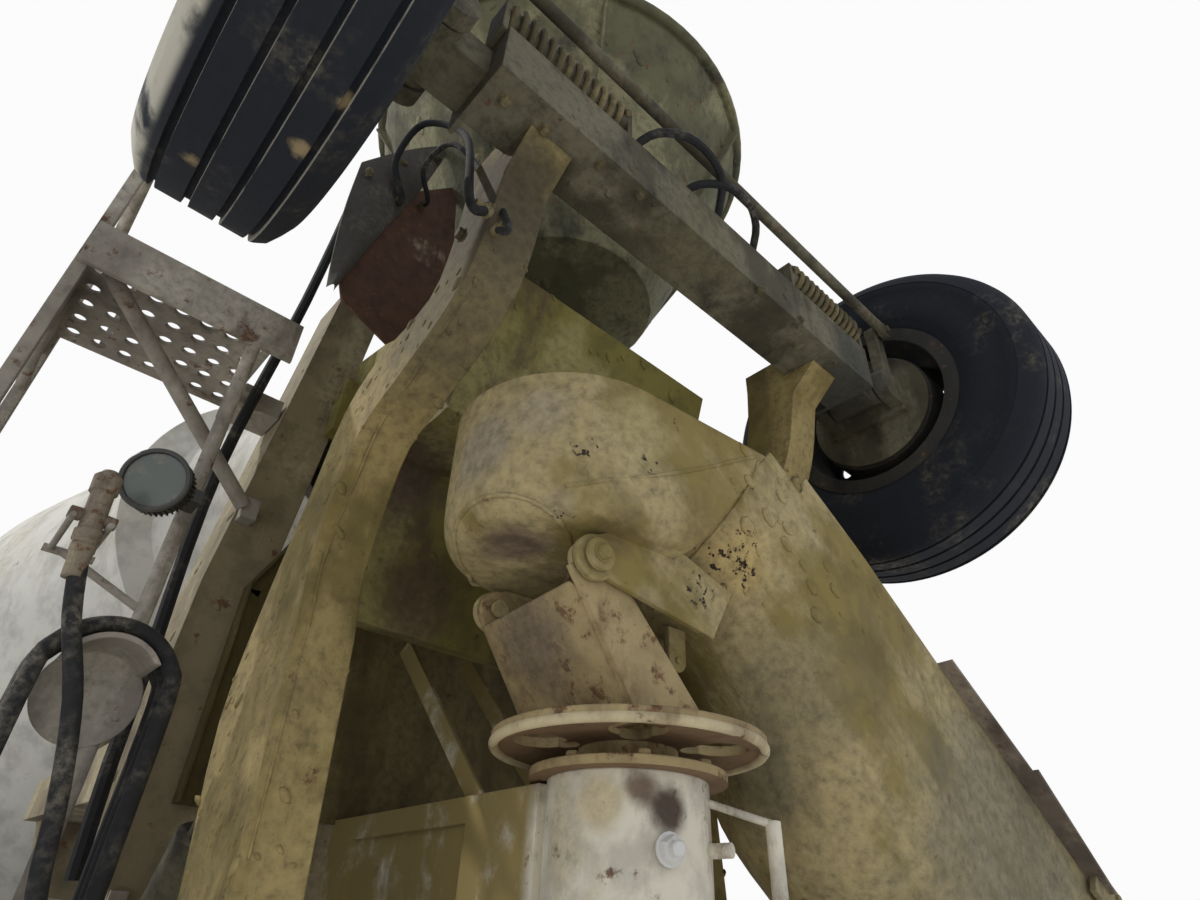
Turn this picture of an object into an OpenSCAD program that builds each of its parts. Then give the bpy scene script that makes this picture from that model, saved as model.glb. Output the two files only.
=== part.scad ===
// Concrete mixer truck, rear discharge, with its booster axle raised.
// Millimetres. Up is +Z, the truck's rear is +Y and its left side is +X.

/* [Overall] */
// Length from the tow eyes to the raised booster tyres
truck_len = 9500; // [9300:10:9900]
// Span across the two mirrors
mirror_span = 3000; // [2900:10:3040]
// Height of the frame rails' top
frame_top = 1050; // [1040:1:1060]

/* [Chassis] */
// Overhang from the tow eyes to the front axle
front_overhang = 1015; // [990:5:1060]
// Distance between the two drive axles
tandem_gap = 1370; // [1300:5:1420]
// Width over the frame rails
frame_w = 860; // [840:2:870]
// Depth of a frame rail
rail_h = 270; // [240:2:280]
// Width of a rail's flange
rail_flange = 85; // [70:1:95]
// Thickness of a rail
rail_t = 10; // [8:1:12]

/* [Wheels] */
// Radius of the road tyres
tyre_r = 520; // [505:1:525]
// Radius of the booster tyres
booster_tyre_r = 535; // [510:1:540]
// Radius of every wheel's bead seat
bead_r = 286; // [280:1:290]
// Width of a front tyre
front_tyre_w = 315; // [290:1:330]
// Width of a drive tyre
drive_tyre_w = 280; // [265:1:290]
// Width of a booster tyre
booster_tyre_w = 290; // [270:1:300]
// Half of the front track
front_track = 1030; // [1010:1:1050]
// Middle of a pair of drive wheels from the centreline
drive_track = 930; // [920:1:940]
// Distance between the two tyres of a pair
dual_gap = 330; // [320:1:345]
// Half of the booster track
booster_track = 1016; // [1005:1:1030]

/* [Cab and hood] */
// Width of the cab
cab_w = 2100; // [2040:5:2140]
// Height of the cab's roof
cab_top = 2740; // [2680:5:2780]
// Thickness of the cab's walls and doors
cab_t = 50; // [40:1:55]
// Width of the hood's middle
hood_w = 1160; // [1120:5:1200]
// Thickness of the hood
hood_t = 14; // [10:1:18]

/* [Drum] */
// Radius of the drum's belly
drum_r = 1190; // [1150:5:1200]
// Radius of the drum's mouth
mouth_r = 470; // [450:5:480]
// Thickness of the drum's shell
drum_t = 10; // [8:1:14]
// Slope of the drum's axis in degrees
drum_tilt = 13; // [12.8:0.1:13.2]
// Radius of the track ring
ring_r = 800; // [790:1:810]
// Radius of a drum roller
roller_r = 110; // [100:1:115]

/* [Booster] */
// Height of the raised booster axle
booster_z = 2917; // [2900:1:2940]
// Distance from the centreline to the arms' outer faces
arm_x = 580; // [570:1:590]
// Thickness of an arm
arm_w = 114; // [105:1:120]
// Side of the booster axle's box beam
beam_s = 156; // [150:1:170]

/* [Chute] */
// Radius of the chute's post
post_r = 150; // [140:1:160]
// Height of the post's top
post_top = 1655; // [1640:1:1665]
// Radius of the lock disc
disc_r = 262; // [250:1:266]
// Slope of the chute at rest in degrees
chute_slope = 38; // [37:0.5:39]
// Heading of the chute at rest, degrees rearward of straight right
chute_heading = 5; // [2:0.5:6]
// Half width of the chute at its head
chute_r = 262; // [250:1:264]
// Half width of the chute at its end
chute_end_r = 225; // [215:1:235]
// Thickness of the chute's plate
chute_t = 8; // [6:1:10]
// Length of the main chute's rim
chute_len = 1280; // [1250:5:1290]
// Length of the fold-over chute
fold_len = 560; // [500:5:580]

/* [Hidden] */
$fn = 96;

// Clearances
seat = 0.3;         // between pieces that rest on each other
run = 6;            // between pieces that move past each other
bore_play = 0.5;    // round a shaft

// Places along the truck
front_y = -truck_len / 2;
boost_y = truck_len / 2 - booster_tyre_r;
tandem_y = boost_y - 2200;
drive_ys = [tandem_y - tandem_gap / 2, tandem_y + tandem_gap / 2];
front_axle_y = front_y + front_overhang;
rail_x = frame_w / 2;
rail_z = frame_top - rail_h;
rail_front = front_y + 190;
rail_rear = boost_y - 430;
cab_front = front_y + 1415;
cab_rear = cab_front + 1600;

// A row of points on an arc, from angle a to angle b
function arc(c, r, a, b, n = 8) =
    [for (i = [0:n]) c + r * [cos(a + (b - a) * i / n), sin(a + (b - a) * i / n)]];
// A point on the smooth curve through four points, between the middle two
function blend(a, b, c, d, t) =
    0.5 * (2 * b + (c - a) * t + (2 * a - 5 * b + 4 * c - d) * t * t
           + (3 * b - a - 3 * c + d) * t * t * t);
// A smooth curve through a list of points, with n steps between two of them
function smooth(p, n = 4) =
    let (last = len(p) - 1)
    concat([for (i = [0:last - 1]) for (k = [0:n - 1])
        blend(p[max(i - 1, 0)], p[i], p[i + 1], p[min(i + 2, last)], k / n)], [p[last]]);
function unit(v) = v / norm(v);
// The direction of a path at its point i
function heading(p, i) = unit(p[min(i + 1, len(p) - 1)] - p[max(i - 1, 0)]);
// The sideways directions of a path, each turned as little as can be from the one before
function sideways(p, i = 0, out = []) =
    i == len(p) ? out :
    let (h = heading(p, i), s = i == 0 ? (abs(h[2]) > 0.9 ? [1, 0, 0] : [0, 0, 1]) : out[i - 1],
         u = unit(s - (s * h) * h))
    sideways(p, i + 1, concat(out, [u]));
// A solid through rings of points, each ring counterclockwise about the way they run
module loft(rings) {
    n = len(rings[0]);
    last = (len(rings) - 1) * n;
    walls = [for (i = [0:len(rings) - 2]) for (k = [0:n - 1])
        let (a = i * n + k, b = i * n + (k + 1) % n)
        each [[a, b + n, b], [a, a + n, b + n]]];
    start = [for (k = [1:n - 2]) [0, k, k + 1]];
    end = [for (k = [1:n - 2]) [last, last + k + 1, last + k]];
    polyhedron([for (r = rings) each r], concat(walls, start, end));
}
// A tube of radius r along a path
module tube(p, r, sides = 8) {
    u = sideways(p);
    loft([for (i = [0:len(p) - 1]) let (v = cross(heading(p, i), u[i]))
        [for (k = [0:sides - 1])
            p[i] + r * (cos(360 * k / sides) * u[i] + sin(360 * k / sides) * v)]]);
}
// A round bar from one point to another
module bar(a, b, r) {
    d = b - a;
    translate(a)
        rotate([0, acos(d[2] / norm(d)), atan2(d[1], d[0])])
            cylinder(h = norm(d), r = r);
}
// A shape drawn in the (y, z) plane, w wide and centred on x
module across(w, x = 0) {
    translate([x - w / 2, 0, 0])
        rotate([90, 0, 90])
            linear_extrude(w) children();
}
// A shape drawn in the (x, z) plane, from y to y + d
module along(y, d) {
    translate([0, y + d, 0])
        rotate([90, 0, 0])
            linear_extrude(d) children();
}
// A cylinder along X, w long and centred on x
module xcyl(r, w, x = 0, y = 0, z = 0) {
    translate([x - w / 2, y, z])
        rotate([0, 90, 0])
            cylinder(h = w, r = r);
}
module box(x, y, z) {
    translate([x[0], y[0], z[0]])
        cube([x[1] - x[0], y[1] - y[0], z[1] - z[0]]);
}
module both() {
    children();
    mirror([1, 0, 0]) children();
}
module side(s) {
    scale([1, 1, 1]) mirror([s < 0 ? 1 : 0, 0, 0]) children();
}

// Chassis

pivot_y = boost_y - 550;
pivot_z = 950;
pivot_tube_r = 65;

module chassis_frame() {
    inner = rail_x - rail_t;
    mid_z = rail_z + rail_h / 2;
    // Crossmembers: place along the truck and half height
    members = [[rail_front + 60, 90], [cab_rear - 60, 60], [cab_rear + 1400, 60],
               [tandem_y, 90], [rail_rear - 400, 90]];
    color([0.22, 0.2, 0.18]) difference() {
        union() {
            both() difference() {
                box([rail_x - rail_flange, rail_x], [rail_front, rail_rear], [rail_z, frame_top]);
                box([rail_x - rail_flange - 1, inner], [rail_front - 1, rail_rear + 1],
                    [rail_z + rail_t, frame_top - rail_t]);
            }
            for (m = members) {
                box([-inner, inner], [m[0] - 5, m[0] + 5], [mid_z - m[1], mid_z + m[1]]);
                for (s = [-1, 1])
                    box([-inner, inner], [m[0] - 45, m[0] + 45],
                        [mid_z + s * m[1] - 5, mid_z + s * m[1] + 5]);
            }
        }
        xcyl(pivot_tube_r + seat, frame_w + 20, 0, pivot_y, pivot_z);
    }
}

bumper_face = 75;
bumper_z = 470;
bumper_h = 290;
tow_eye_x = 330;
tow_eye_t = 30;
tow_eye_r = 24;
tow_eye_z = 620;

module front_bumper() {
    eye_y = front_y + tow_eye_r + 18;
    y0 = front_y + bumper_face;
    color([0.75, 0.75, 0.73]) {
        translate([0, 0, bumper_z]) linear_extrude(bumper_h) difference() {
            polygon([[-1200, y0 + 190], [-1200, y0 + 110], [-1080, y0],
                     [1080, y0], [1200, y0 + 110], [1200, y0 + 190]]);
            polygon([[-1190, y0 + 191], [-1190, y0 + 114], [-1075, y0 + 10],
                     [1075, y0 + 10], [1190, y0 + 114], [1190, y0 + 191]]);
        }
        both() {
            box([rail_x - rail_flange, rail_x], [y0 + 6, rail_front - seat], [bumper_z + 130, hinge_low + 2]);
            xcyl(16, 28, 366, hood_pivot, hinge_low + 16);
            difference() {
                union() {
                    xcyl(tow_eye_r + 18, tow_eye_t, tow_eye_x + tow_eye_t / 2, eye_y, tow_eye_z);
                    box([tow_eye_x, tow_eye_x + tow_eye_t], [eye_y, y0 + 5],
                        [tow_eye_z - tow_eye_r - 18, tow_eye_z + tow_eye_r + 18]);
                }
                xcyl(tow_eye_r, tow_eye_t + 2, tow_eye_x + tow_eye_t / 2, eye_y, tow_eye_z);
            }
        }
    }
}

engine_w = 660;
module engine_block() {
    color([0.3, 0.32, 0.33])
        box([-engine_w / 2, engine_w / 2], [cab_front - 1080, cab_front - 30],
            [rail_z - 60, frame_top + 560]);
}

// Wheels

rim_flange = 12;
hub_r = 105;
spindle_r = 42;
brake_r = 208;

// A tyre's section: x is the radius and y runs across
module tyre_section(r, w, grooves) {
    shoulder = 46;
    difference() {
        union() {
            translate([bead_r + 55, -w / 2]) square([r - shoulder - bead_r - 55, w]);
            translate([bead_r, -w / 2 + 30]) square([r - bead_r, w - 60]);
            translate([bead_r, -w / 2 + shoulder]) square([r - bead_r, w - 2 * shoulder]);
            for (s = [-1, 1])
                translate([r - shoulder, s * (w / 2 - shoulder)]) circle(shoulder);
        }
        translate([bead_r - 1, -w / 2 + 62]) square([r - bead_r - 48, w - 124]);
        for (g = grooves)
            translate([r - 14, g * w / 2 - 6]) square([20, 12]);
    }
}
module tyre(x, r, w, grooves) {
    translate([x, 0, 0])
        rotate([0, 90, 0])
            rotate_extrude() tyre_section(r, w, grooves);
}
// A rim's barrel, centred on x for a tyre w wide
module rim_barrel(x, w) {
    bead_w = w - 60;
    translate([x, 0, 0]) rotate([0, 90, 0]) rotate_extrude() {
        translate([bead_r - 26, -bead_w / 2 - rim_flange]) square([26 - seat, bead_w + 2 * rim_flange]);
        for (s = [-1, 1])
            translate([bead_r - 26, s * (bead_w / 2 + rim_flange / 2 + seat) - rim_flange / 2])
                square([46, rim_flange]);
    }
}
// A wheel's disc at x, with hand holes and a ring of nuts
module rim_disc(x, dish) {
    t = 12;
    difference() {
        union() {
            translate([x - t / 2, 0, 0]) rotate([0, 90, 0]) cylinder(h = t, r = 165);
            translate([x - t / 2, 0, 0]) rotate([0, 90, 0]) rotate_extrude() polygon(
                [[164, 0], [164, t], [bead_r - 25, t + dish], [bead_r - 25, dish]]);
        }
        for (i = [0:9])
            rotate([36 * i, 0, 0]) translate([x - 100, 0, 212])
                rotate([0, 90, 0]) cylinder(h = 200, r = 26);
    }
    for (i = [0:9])
        rotate([36 * i + 18, 0, 0]) xcyl(15, t + 36, x, 0, 143);
}
// Discs with their hub from a to b, bored for the spindle up to its cap, and a brake drum to c
module hub(a, b, c) {
    difference() {
        union() {
            children();
            xcyl(hub_r, b - a, (a + b) / 2);
            xcyl(brake_r, c - a, (a + c) / 2);
        }
        xcyl(spindle_r + bore_play, b - 40 - a + 1, (b - 40 + a - 1) / 2);
    }
}
road_grooves = [-0.5, -0.17, 0.17, 0.5];
front_disc = front_track + 70;
booster_disc = booster_track + 60;
module tyre_front() {
    color([0.08, 0.08, 0.08]) translate([0, front_axle_y, tyre_r])
        tyre(front_track, tyre_r, front_tyre_w, road_grooves);
}
module rim_front() {
    color([0.7, 0.7, 0.68]) translate([0, front_axle_y, tyre_r]) {
        rim_barrel(front_track, front_tyre_w);
        hub(kingpin_x + 100, front_disc + 60, front_disc - 40) rim_disc(front_disc, -20);
    }
}
module tyres_drive(i) {
    color([0.08, 0.08, 0.08]) translate([0, drive_ys[i], tyre_r])
        for (s = [-1, 1])
            tyre(drive_track + s * dual_gap / 2, tyre_r, drive_tyre_w, road_grooves);
}
module rims_drive(i) {
    color([0.7, 0.7, 0.68]) translate([0, drive_ys[i], tyre_r]) {
        for (s = [-1, 1]) rim_barrel(drive_track + s * dual_gap / 2, drive_tyre_w);
        hub(drive_track - 200, drive_track + 110, drive_track - 50)
            for (s = [-1, 1]) rim_disc(drive_track + s * 6, s * 50);
    }
}
module tyre_booster() {
    color([0.1, 0.09, 0.08]) translate([0, boost_y, booster_z])
        tyre(booster_track, booster_tyre_r, booster_tyre_w, [-0.6, -0.2, 0.2, 0.6]);
}
module rim_booster() {
    color([0.5, 0.45, 0.38]) translate([0, boost_y, booster_z]) {
        rim_barrel(booster_track, booster_tyre_w);
        hub(booster_kingpin_x + 100, booster_disc + 60, booster_disc - 40) rim_disc(booster_disc, 30);
    }
}

// Axles

kingpin_x = 820;
booster_kingpin_x = 820;
kingpin_r = 24;
steer_arm = 210;
tie_z = 144;
ball_pin_r = 12;

// A knuckle about a kingpin along Z at (kp, 0), with its spindle along X out to reach
module knuckle(kp, reach) {
    difference() {
        union() {
            translate([kp, 0, -125]) cylinder(h = 250, r = kingpin_r);
            for (z = [-125, 85]) {
                translate([kp, 0, z]) cylinder(h = 40, r = 52);
                box([kp, kp + 88], [-52, 52], [z, z + 40]);
            }
            box([kp + 62, kp + 88], [-70, 70], [-125, 125]);
            xcyl(spindle_r, reach - kp - 80, (reach + kp + 80) / 2);
            // Backing plate of the brake
            xcyl(brake_r - 6, 6, kp + 90);
            // Steering arm with its ball pin
            box([kp - 24, kp + 24], [40, steer_arm], [-125, -90]);
            translate([kp, steer_arm, -125]) cylinder(h = 35, r = 30);
            translate([kp, steer_arm, -165]) cylinder(h = 50, r = ball_pin_r);
        }
    }
}
// A tie rod under two steering arms, with an eye round each ball pin
module tie_rod(kp) {
    translate([0, steer_arm, -tie_z]) {
        both() difference() {
            union() {
                translate([kp, 0, -10]) cylinder(h = 20, r = 27);
                xcyl(17, 34, kp - 38);
            }
            translate([kp, 0, -11]) cylinder(h = 22, r = ball_pin_r + bore_play);
        }
        xcyl(16, 2 * (kp - 40), 0);
    }
}
// An axle beam's end boss at kp, bored for the kingpin
module axle_end(kp, from) {
    difference() {
        union() {
            translate([kp, 0, -79]) cylinder(h = 158, r = 46);
            box([from, kp], [-45, 45], [-60, 60]);
        }
        translate([kp, 0, -80]) cylinder(h = 160, r = kingpin_r + bore_play);
    }
}
module knuckle_front() {
    color([0.2, 0.19, 0.17]) translate([0, front_axle_y, tyre_r])
        knuckle(kingpin_x, front_disc + 10);
}
module front_tie_rod() {
    color([0.2, 0.19, 0.17]) translate([0, front_axle_y, tyre_r]) tie_rod(kingpin_x);
}
module at_booster() {
    translate([0, boost_y, booster_z]) rotate([90, 0, 0]) children();
}
module knuckle_booster() {
    color([0.28, 0.24, 0.16]) at_booster() knuckle(booster_kingpin_x, booster_disc + 10);
}
module booster_tie_rod() {
    color([0.28, 0.24, 0.16]) at_booster() tie_rod(booster_kingpin_x);
}

spring_x = 387;
spring_w = 80;
front_beam_z = tyre_r - 90;
module front_axle() {
    color([0.2, 0.19, 0.17]) {
        // An I beam that drops between the springs
        translate([0, front_axle_y, 0]) both() {
            translate([0, 0, tyre_r]) axle_end(kingpin_x, kingpin_x - 130);
            along(-55, 110) polygon([[0, front_beam_z - 50], [520, front_beam_z - 50],
                [kingpin_x - 110, tyre_r - 60], [kingpin_x - 110, tyre_r + 60],
                [520, front_beam_z + 50], [0, front_beam_z + 50]]);
        }
        // Leaf springs: half length of each leaf, from the bottom one up
        both() for (k = [0:3])
            box([spring_x - spring_w / 2, spring_x + spring_w / 2],
                [front_axle_y - 300 - 130 * k, front_axle_y + 300 + 130 * k],
                [front_beam_z + 50 + 16 * k, front_beam_z + 66 + 16 * k]);
        // Shackles and hangers up to the rails
        both() for (s = [-1, 1])
            box([rail_x - rail_flange + 5, rail_x - 5],
                [front_axle_y + s * 660 - 30, front_axle_y + s * 660 + 30],
                [front_beam_z + 100, rail_z - seat]);
    }
}

beam_drop = 60;
module drive_axles() {
    color([0.2, 0.19, 0.17]) {
        for (y = drive_ys) {
            difference() {
                union() {
                    xcyl(75, 2 * (drive_track - 330), 0, y, tyre_r);
                    translate([0, y, tyre_r]) rotate([90, 0, 0])
                        translate([0, 0, -60]) cylinder(h = 120, r = 215);
                    translate([0, y - 340, tyre_r]) rotate([-90, 0, 0]) cylinder(h = 300, r = 95);
                }
            }
            both() {
                xcyl(spindle_r, 460, drive_track - 170, y, tyre_r);
                xcyl(brake_r - 8, 8, drive_track - 212, y, tyre_r);
            }
        }
        // Rocking beams of the tandem and their hangers
        both() {
            across(90, spring_x + 8) polygon([
                [drive_ys[0] - 90, tyre_r - 75], [tandem_y - 160, tyre_r - 150],
                [tandem_y + 160, tyre_r - 150], [drive_ys[1] + 90, tyre_r - 75],
                [drive_ys[1] + 90, tyre_r - 40], [tandem_y, tyre_r + 70], [drive_ys[0] - 90, tyre_r - 40]]);
            across(70, spring_x + 3) polygon([
                [tandem_y - 260, rail_z - seat], [tandem_y - 70, tyre_r - 60],
                [tandem_y + 70, tyre_r - 60], [tandem_y + 260, rail_z - seat]]);
        }
        xcyl(55, 2 * (spring_x + 20), 0, tandem_y, tyre_r - 40);
        // Propeller shafts and the gearbox
        bar([0, cab_front + 700, rail_z + 40], [0, drive_ys[0] - 330, tyre_r], 50);
        bar([0, drive_ys[0] + 50, tyre_r + 10], [0, drive_ys[1] - 330, tyre_r], 45);
        box([-200, 200], [cab_front - 30 + seat, cab_front + 720], [rail_z - 90, rail_z + 200]);
    }
}

// Tanks

fuel_r = 290;
fuel_x = cab_w / 2 - 260;
fuel_z = 690;
fuel_y = [front_axle_y + 975, cab_rear - 80];
water_r = 225;
water_x = cab_w / 2 - 220;
water_z = 1180;
water_y = [cab_rear + 330, drive_ys[0] - 1425];
fill_r = 25.4;
fill_len = 60;
fill_back = 150;      // from the water tank's front end to its fill

module capped_tank(r, y) {
    round_r = 40;
    translate([0, y[0], 0]) rotate([-90, 0, 0]) rotate_extrude() {
        translate([0, round_r]) square([r, y[1] - y[0] - 2 * round_r]);
        square([r - round_r, y[1] - y[0]]);
        for (h = [round_r, y[1] - y[0] - round_r])
            translate([r - round_r, h]) circle(round_r);
    }
}
module tanks() {
    color([0.75, 0.75, 0.73]) {
        both() {
            translate([fuel_x, 0, fuel_z]) capped_tank(fuel_r, fuel_y);
            // Hangers back to the rail
            for (y = [fuel_y[0] + 200, fuel_y[1] - 200])
                box([rail_x + seat, fuel_x - fuel_r + 90], [y - 30, y + 30], [rail_z + 20, frame_top - 20]);
            // Steps to the cab
            for (z = [330, 640])
                box([fuel_x - 110, fuel_x + fuel_r - 10], [fuel_y[0] - 290, fuel_y[0] - 20], [z, z + 30]);
            for (y = [fuel_y[0] - 300, fuel_y[0] - 30])
                box([fuel_x - 120, fuel_x + fuel_r - 60], [y, y + 12], [330, 950]);
            box([rail_x + seat, fuel_x - 110], [fuel_y[0] - 200, fuel_y[0] - 140], [rail_z + 20, rail_z + 90]);
            box([fuel_x - 130, fuel_x - 110], [fuel_y[0] - 300, fuel_y[0] + 40], [rail_z + 20, rail_z + 90]);
        }
        difference() {
            union() {
                translate([water_x, 0, water_z]) capped_tank(water_r, water_y);
                translate([water_x, water_y[0] + fill_back, water_z]) cylinder(h = water_r + fill_len, r = fill_r + 12);
                for (y = [water_y[0] + 250, water_y[1] - 250])
                    box([rail_x + seat, water_x], [y - 40, y + 40], [water_z - water_r - 20, water_z - 110]);
            }
            translate([water_x, water_y[0] + fill_back, water_z + water_r - 20])
                cylinder(h = fill_len + 30, r = fill_r);
        }
    }
}

// Drum and what carries it

// Its front head follows the cab and its mouth the rear, so its belly takes up a change of length
drum_gap = 450;
drum_y = cab_rear + drum_gap;
drum_more = boost_y - 5500 - drum_y;
drum_foot = 1980;
drum_z = drum_foot - drum_more * tan(drum_tilt);
drum_stretch = drum_more / cos(drum_tilt);
drum_len = 4177 + drum_stretch;
ring_s = 3480 + drum_stretch;
ring_w = 90;
roller_w = 110;
roller_angle = 38;
roller_x = (ring_r + roller_r + seat) * sin(roller_angle);
roller_y = (ring_r + roller_r + seat) * cos(roller_angle);
roller_shaft_r = 28;
stub_r = 60;
gearbox_r = 230;

// The drum's own frame: Z runs up its axis from the front, and +Y is down
module at_drum() {
    translate([0, drum_y, drum_z]) rotate([drum_tilt - 90, 0, 0]) children();
}
// The drum's outline from the front head to the mouth: place along the axis and radius
function drum_outline(t) = concat(
    [[0, 180 - t], [30, 360 - t]],
    [for (p = arc([520, 640], 390, 215, 140, 5)) [p[0] + t * 0.6, p[1] - t]],
    arc([1950 + drum_stretch / 2, drum_r - 1500], 1500 - t, 112, 68, 8),
    [[drum_len - 877, 790 - t], [drum_len - 377, mouth_r + 90 - t], [drum_len, mouth_r - t]]);
module drum() {
    inside = drum_outline(drum_t);
    color([0.85, 0.84, 0.78]) at_drum() {
        rotate_extrude() difference() {
            union() {
                polygon([for (p = concat([[0, 0]], drum_outline(0), [[drum_len, 0]])) [p[1], p[0]]]);
                translate([ring_r - 130, ring_s - ring_w / 2]) square([130, ring_w]);
                translate([mouth_r - 5, drum_len - 14]) square([35, 14]);
            }
            polygon([for (p = concat([[drum_t, 0]], [for (q = inside) [max(q[0], drum_t), q[1]]],
                [[drum_len + 1, mouth_r - drum_t], [drum_len + 1, 0]])) [p[1], p[0]]]);
        }
        translate([0, 0, -140]) cylinder(h = 145, r = stub_r);
        translate([0, 0, -14]) cylinder(h = 15, r = 190);
    }
}
module roller() {
    color([0.45, 0.4, 0.35]) at_drum() translate([roller_x, roller_y, ring_s]) {
        translate([0, 0, -roller_w / 2]) cylinder(h = roller_w, r = roller_r);
        translate([0, 0, -100]) cylinder(h = 200, r = roller_shaft_r);
    }
}
leg_y = boost_y - 1350;
leg_d = 200;
table_z = 1790;
leg_top = 3300;
module drum_pedestals() {
    color([0.5, 0.45, 0.3]) {
        // Front stand with the drum's gearbox
        difference() {
            union() {
                at_drum() {
                    translate([0, 0, -300]) cylinder(h = 280, r = gearbox_r);
                    translate([0, 0, -380]) cylinder(h = 90, r = 130);
                }
                both() along(drum_y - 330, 220) polygon([
                    [rail_x - rail_flange, frame_top + seat], [rail_x, frame_top + seat],
                    [220, drum_z - 20], [80, drum_z - 120]]);
                box([-330, 330], [drum_y - 330, drum_y - 110], [frame_top + 130, frame_top + 200]);
            }
            at_drum() translate([0, 0, -160]) cylinder(h = 200, r = stub_r + bore_play);
        }
        // Rear stand: legs, table and roller brackets
        both() {
            along(leg_y, leg_d) polygon([
                [rail_x - rail_flange, frame_top + seat], [rail_x + 20, frame_top + seat],
                [560, 1330], [635, table_z], [625, 2150], [515, leg_top], [365, leg_top],
                [470, 2150], [450, table_z - 140]]);
            difference() {
                across(190, 540) polygon([
                    [leg_y - 950, table_z - 110], [leg_y + 10, table_z - 140], [leg_y + 10, table_z],
                    [leg_y - 950, table_z]]);
            }
            along(leg_y - 950, 120) polygon([
                [rail_x - rail_flange, frame_top + seat], [rail_x, frame_top + seat],
                [600, table_z - 100], [455, table_z - 100]]);
            difference() {
                intersection() {
                    at_drum() translate([roller_x, roller_y, ring_s]) for (s = [-1, 1])
                        translate([-80, -45, s * 82 - 12]) cube([160, 420, 24]);
                    box([0, 1000], [leg_y - 1200, leg_y + 10], [table_z - 10, 2400]);
                }
                at_drum() translate([roller_x, roller_y, ring_s - 200])
                    cylinder(h = 400, r = roller_shaft_r + bore_play);
            }
        }
        box([-520, 520], [leg_y + leg_d - 20, leg_y + leg_d], [1250, 1640]);
    }
}

// The hopper's rim, its throat over the collector and its snout in the drum's mouth
hopper_top = 4000;
hopper_r = 690;
hopper_y = boost_y - 640;
module hopper_form(t) {
    translate([0, hopper_y, hopper_top - 60 + (t > 0 ? 1 : 0)]) cylinder(h = 60, r = hopper_r - t, $fn = 40);
    translate([0, boost_y - 560, 3150 + t]) cylinder(h = 20, r = 300 - t, $fn = 32);
    translate([0, boost_y - 1400 - t, 3150]) rotate([-90, 0, 0]) cylinder(h = 20, r = 170 - t, $fn = 32);
}
module charge_hopper() {
    color([0.42, 0.4, 0.24]) {
        difference() {
            hull() hopper_form(0);
            hull() hopper_form(10);
        }
        translate([0, hopper_y, hopper_top - 30]) rotate_extrude()
            translate([hopper_r - 5, 0]) square([28, 30]);
        both() across(12, 446) polygon([[leg_y + 10, leg_top + seat], [leg_y + leg_d - 10, leg_top + seat],
            [boost_y - 862, 3560], [boost_y - 862, 3640], [leg_y + 10, 3640]]);
    }
}

collector_w = 800;
// Its outline in (y, z): up the underside to the rear lip, then forward along the top
collector_line = [[-1280, 2740], [-790, 2010], [-725, 2000], [-690, 2420], [-430, 2440],
                  [-300, 2850], [-1280, 3050]];
module collector() {
    color([0.5, 0.46, 0.2]) {
        difference() {
            across(collector_w) translate([boost_y, 0]) polygon(collector_line);
            across(collector_w - 16) translate([boost_y, 0]) polygon([[-1270, 2750], [-788, 2028],
                [-734, 2020], [-699, 2429], [-436, 2449], [-309, 2849], [-309, 2900], [-1281, 3100], [-1281, 2767]]);
            box([-150, 150], [boost_y - 640, boost_y - 450], [2300, 2500]);
            both() box([345, 500], [boost_y - 1500, leg_y + leg_d + seat], [1900, 3200]);
        }
        both() box([388, 440], [leg_y + leg_d + seat, leg_y + leg_d + 70], [2700, 2900]);
    }
}

// Platform and ladder on the left side

floor_z = 2770;
ladder_y = boost_y - 860;
pole_x = 765;
module platform() {
    color([0.5, 0.46, 0.34]) {
        // Floor with its edge beam, bored through like a grating
        difference() {
            box([700, 1180], [ladder_y - 480, ladder_y + 20], [floor_z, floor_z + 12]);
            for (i = [0:6]) for (k = [0:5])
                translate([740 + 66 * i, ladder_y - 430 + 75 * k, floor_z - 1]) cylinder(h = 14, r = 18, $fn = 24);
        }
        box([670, 1180], [ladder_y + 8, ladder_y + 20], [floor_z - 100, floor_z + 30]);
        box([1168, 1180], [ladder_y - 480, ladder_y + 20], [floor_z - 100, floor_z + 30]);
        // Ladder on the platform's outer edge
        for (y = [ladder_y - 18, ladder_y - 456])
            box([1156, 1184], [y - 25, y + 25], [1160, floor_z + 370]);
        for (k = [0:5])
            translate([1170, ladder_y - 456, 1210 + 270 * k]) rotate([-90, 0, 0]) cylinder(h = 438, r = 14);
        // Pole that the hose, the nozzle and the work lamp hang on
        translate([pole_x, ladder_y - 5, 1160]) cylinder(h = floor_z - 1155, r = 17);
        wash_rack();
        // Second post, hand rail and brace
        box([1030, 1070], [ladder_y - 470, ladder_y - 430], [floor_z + 5, floor_z + 370]);
        xcyl(17, 140, 1110, ladder_y - 450, floor_z + 350);
        bar([1160, ladder_y - 450, floor_z + 350], [1160, ladder_y - 10, floor_z + 350], 17);
        bar([1120, ladder_y - 100, floor_z - 5], [600, leg_y + leg_d + 42, 2360], 20);
        box([560, 600], [leg_y + leg_d + seat, leg_y + leg_d + 50], [2330, 2390]);
        // Arms to the stand's leg
        box([575, 720], [leg_y + 40, leg_y + leg_d - 30], [floor_z - 60, floor_z + 5]);
        box([650, 700], [leg_y + leg_d - 31, leg_y + leg_d + 5.2], [floor_z - 40, floor_z - 10]);
        box([545, 580], [leg_y + leg_d + seat, leg_y + leg_d + 12], [1390, 1470]);
        bar([565, leg_y + leg_d + 10, 1430], [pole_x, ladder_y - 5, 1430], 14);

    }
}

// Chute post and beam

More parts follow.
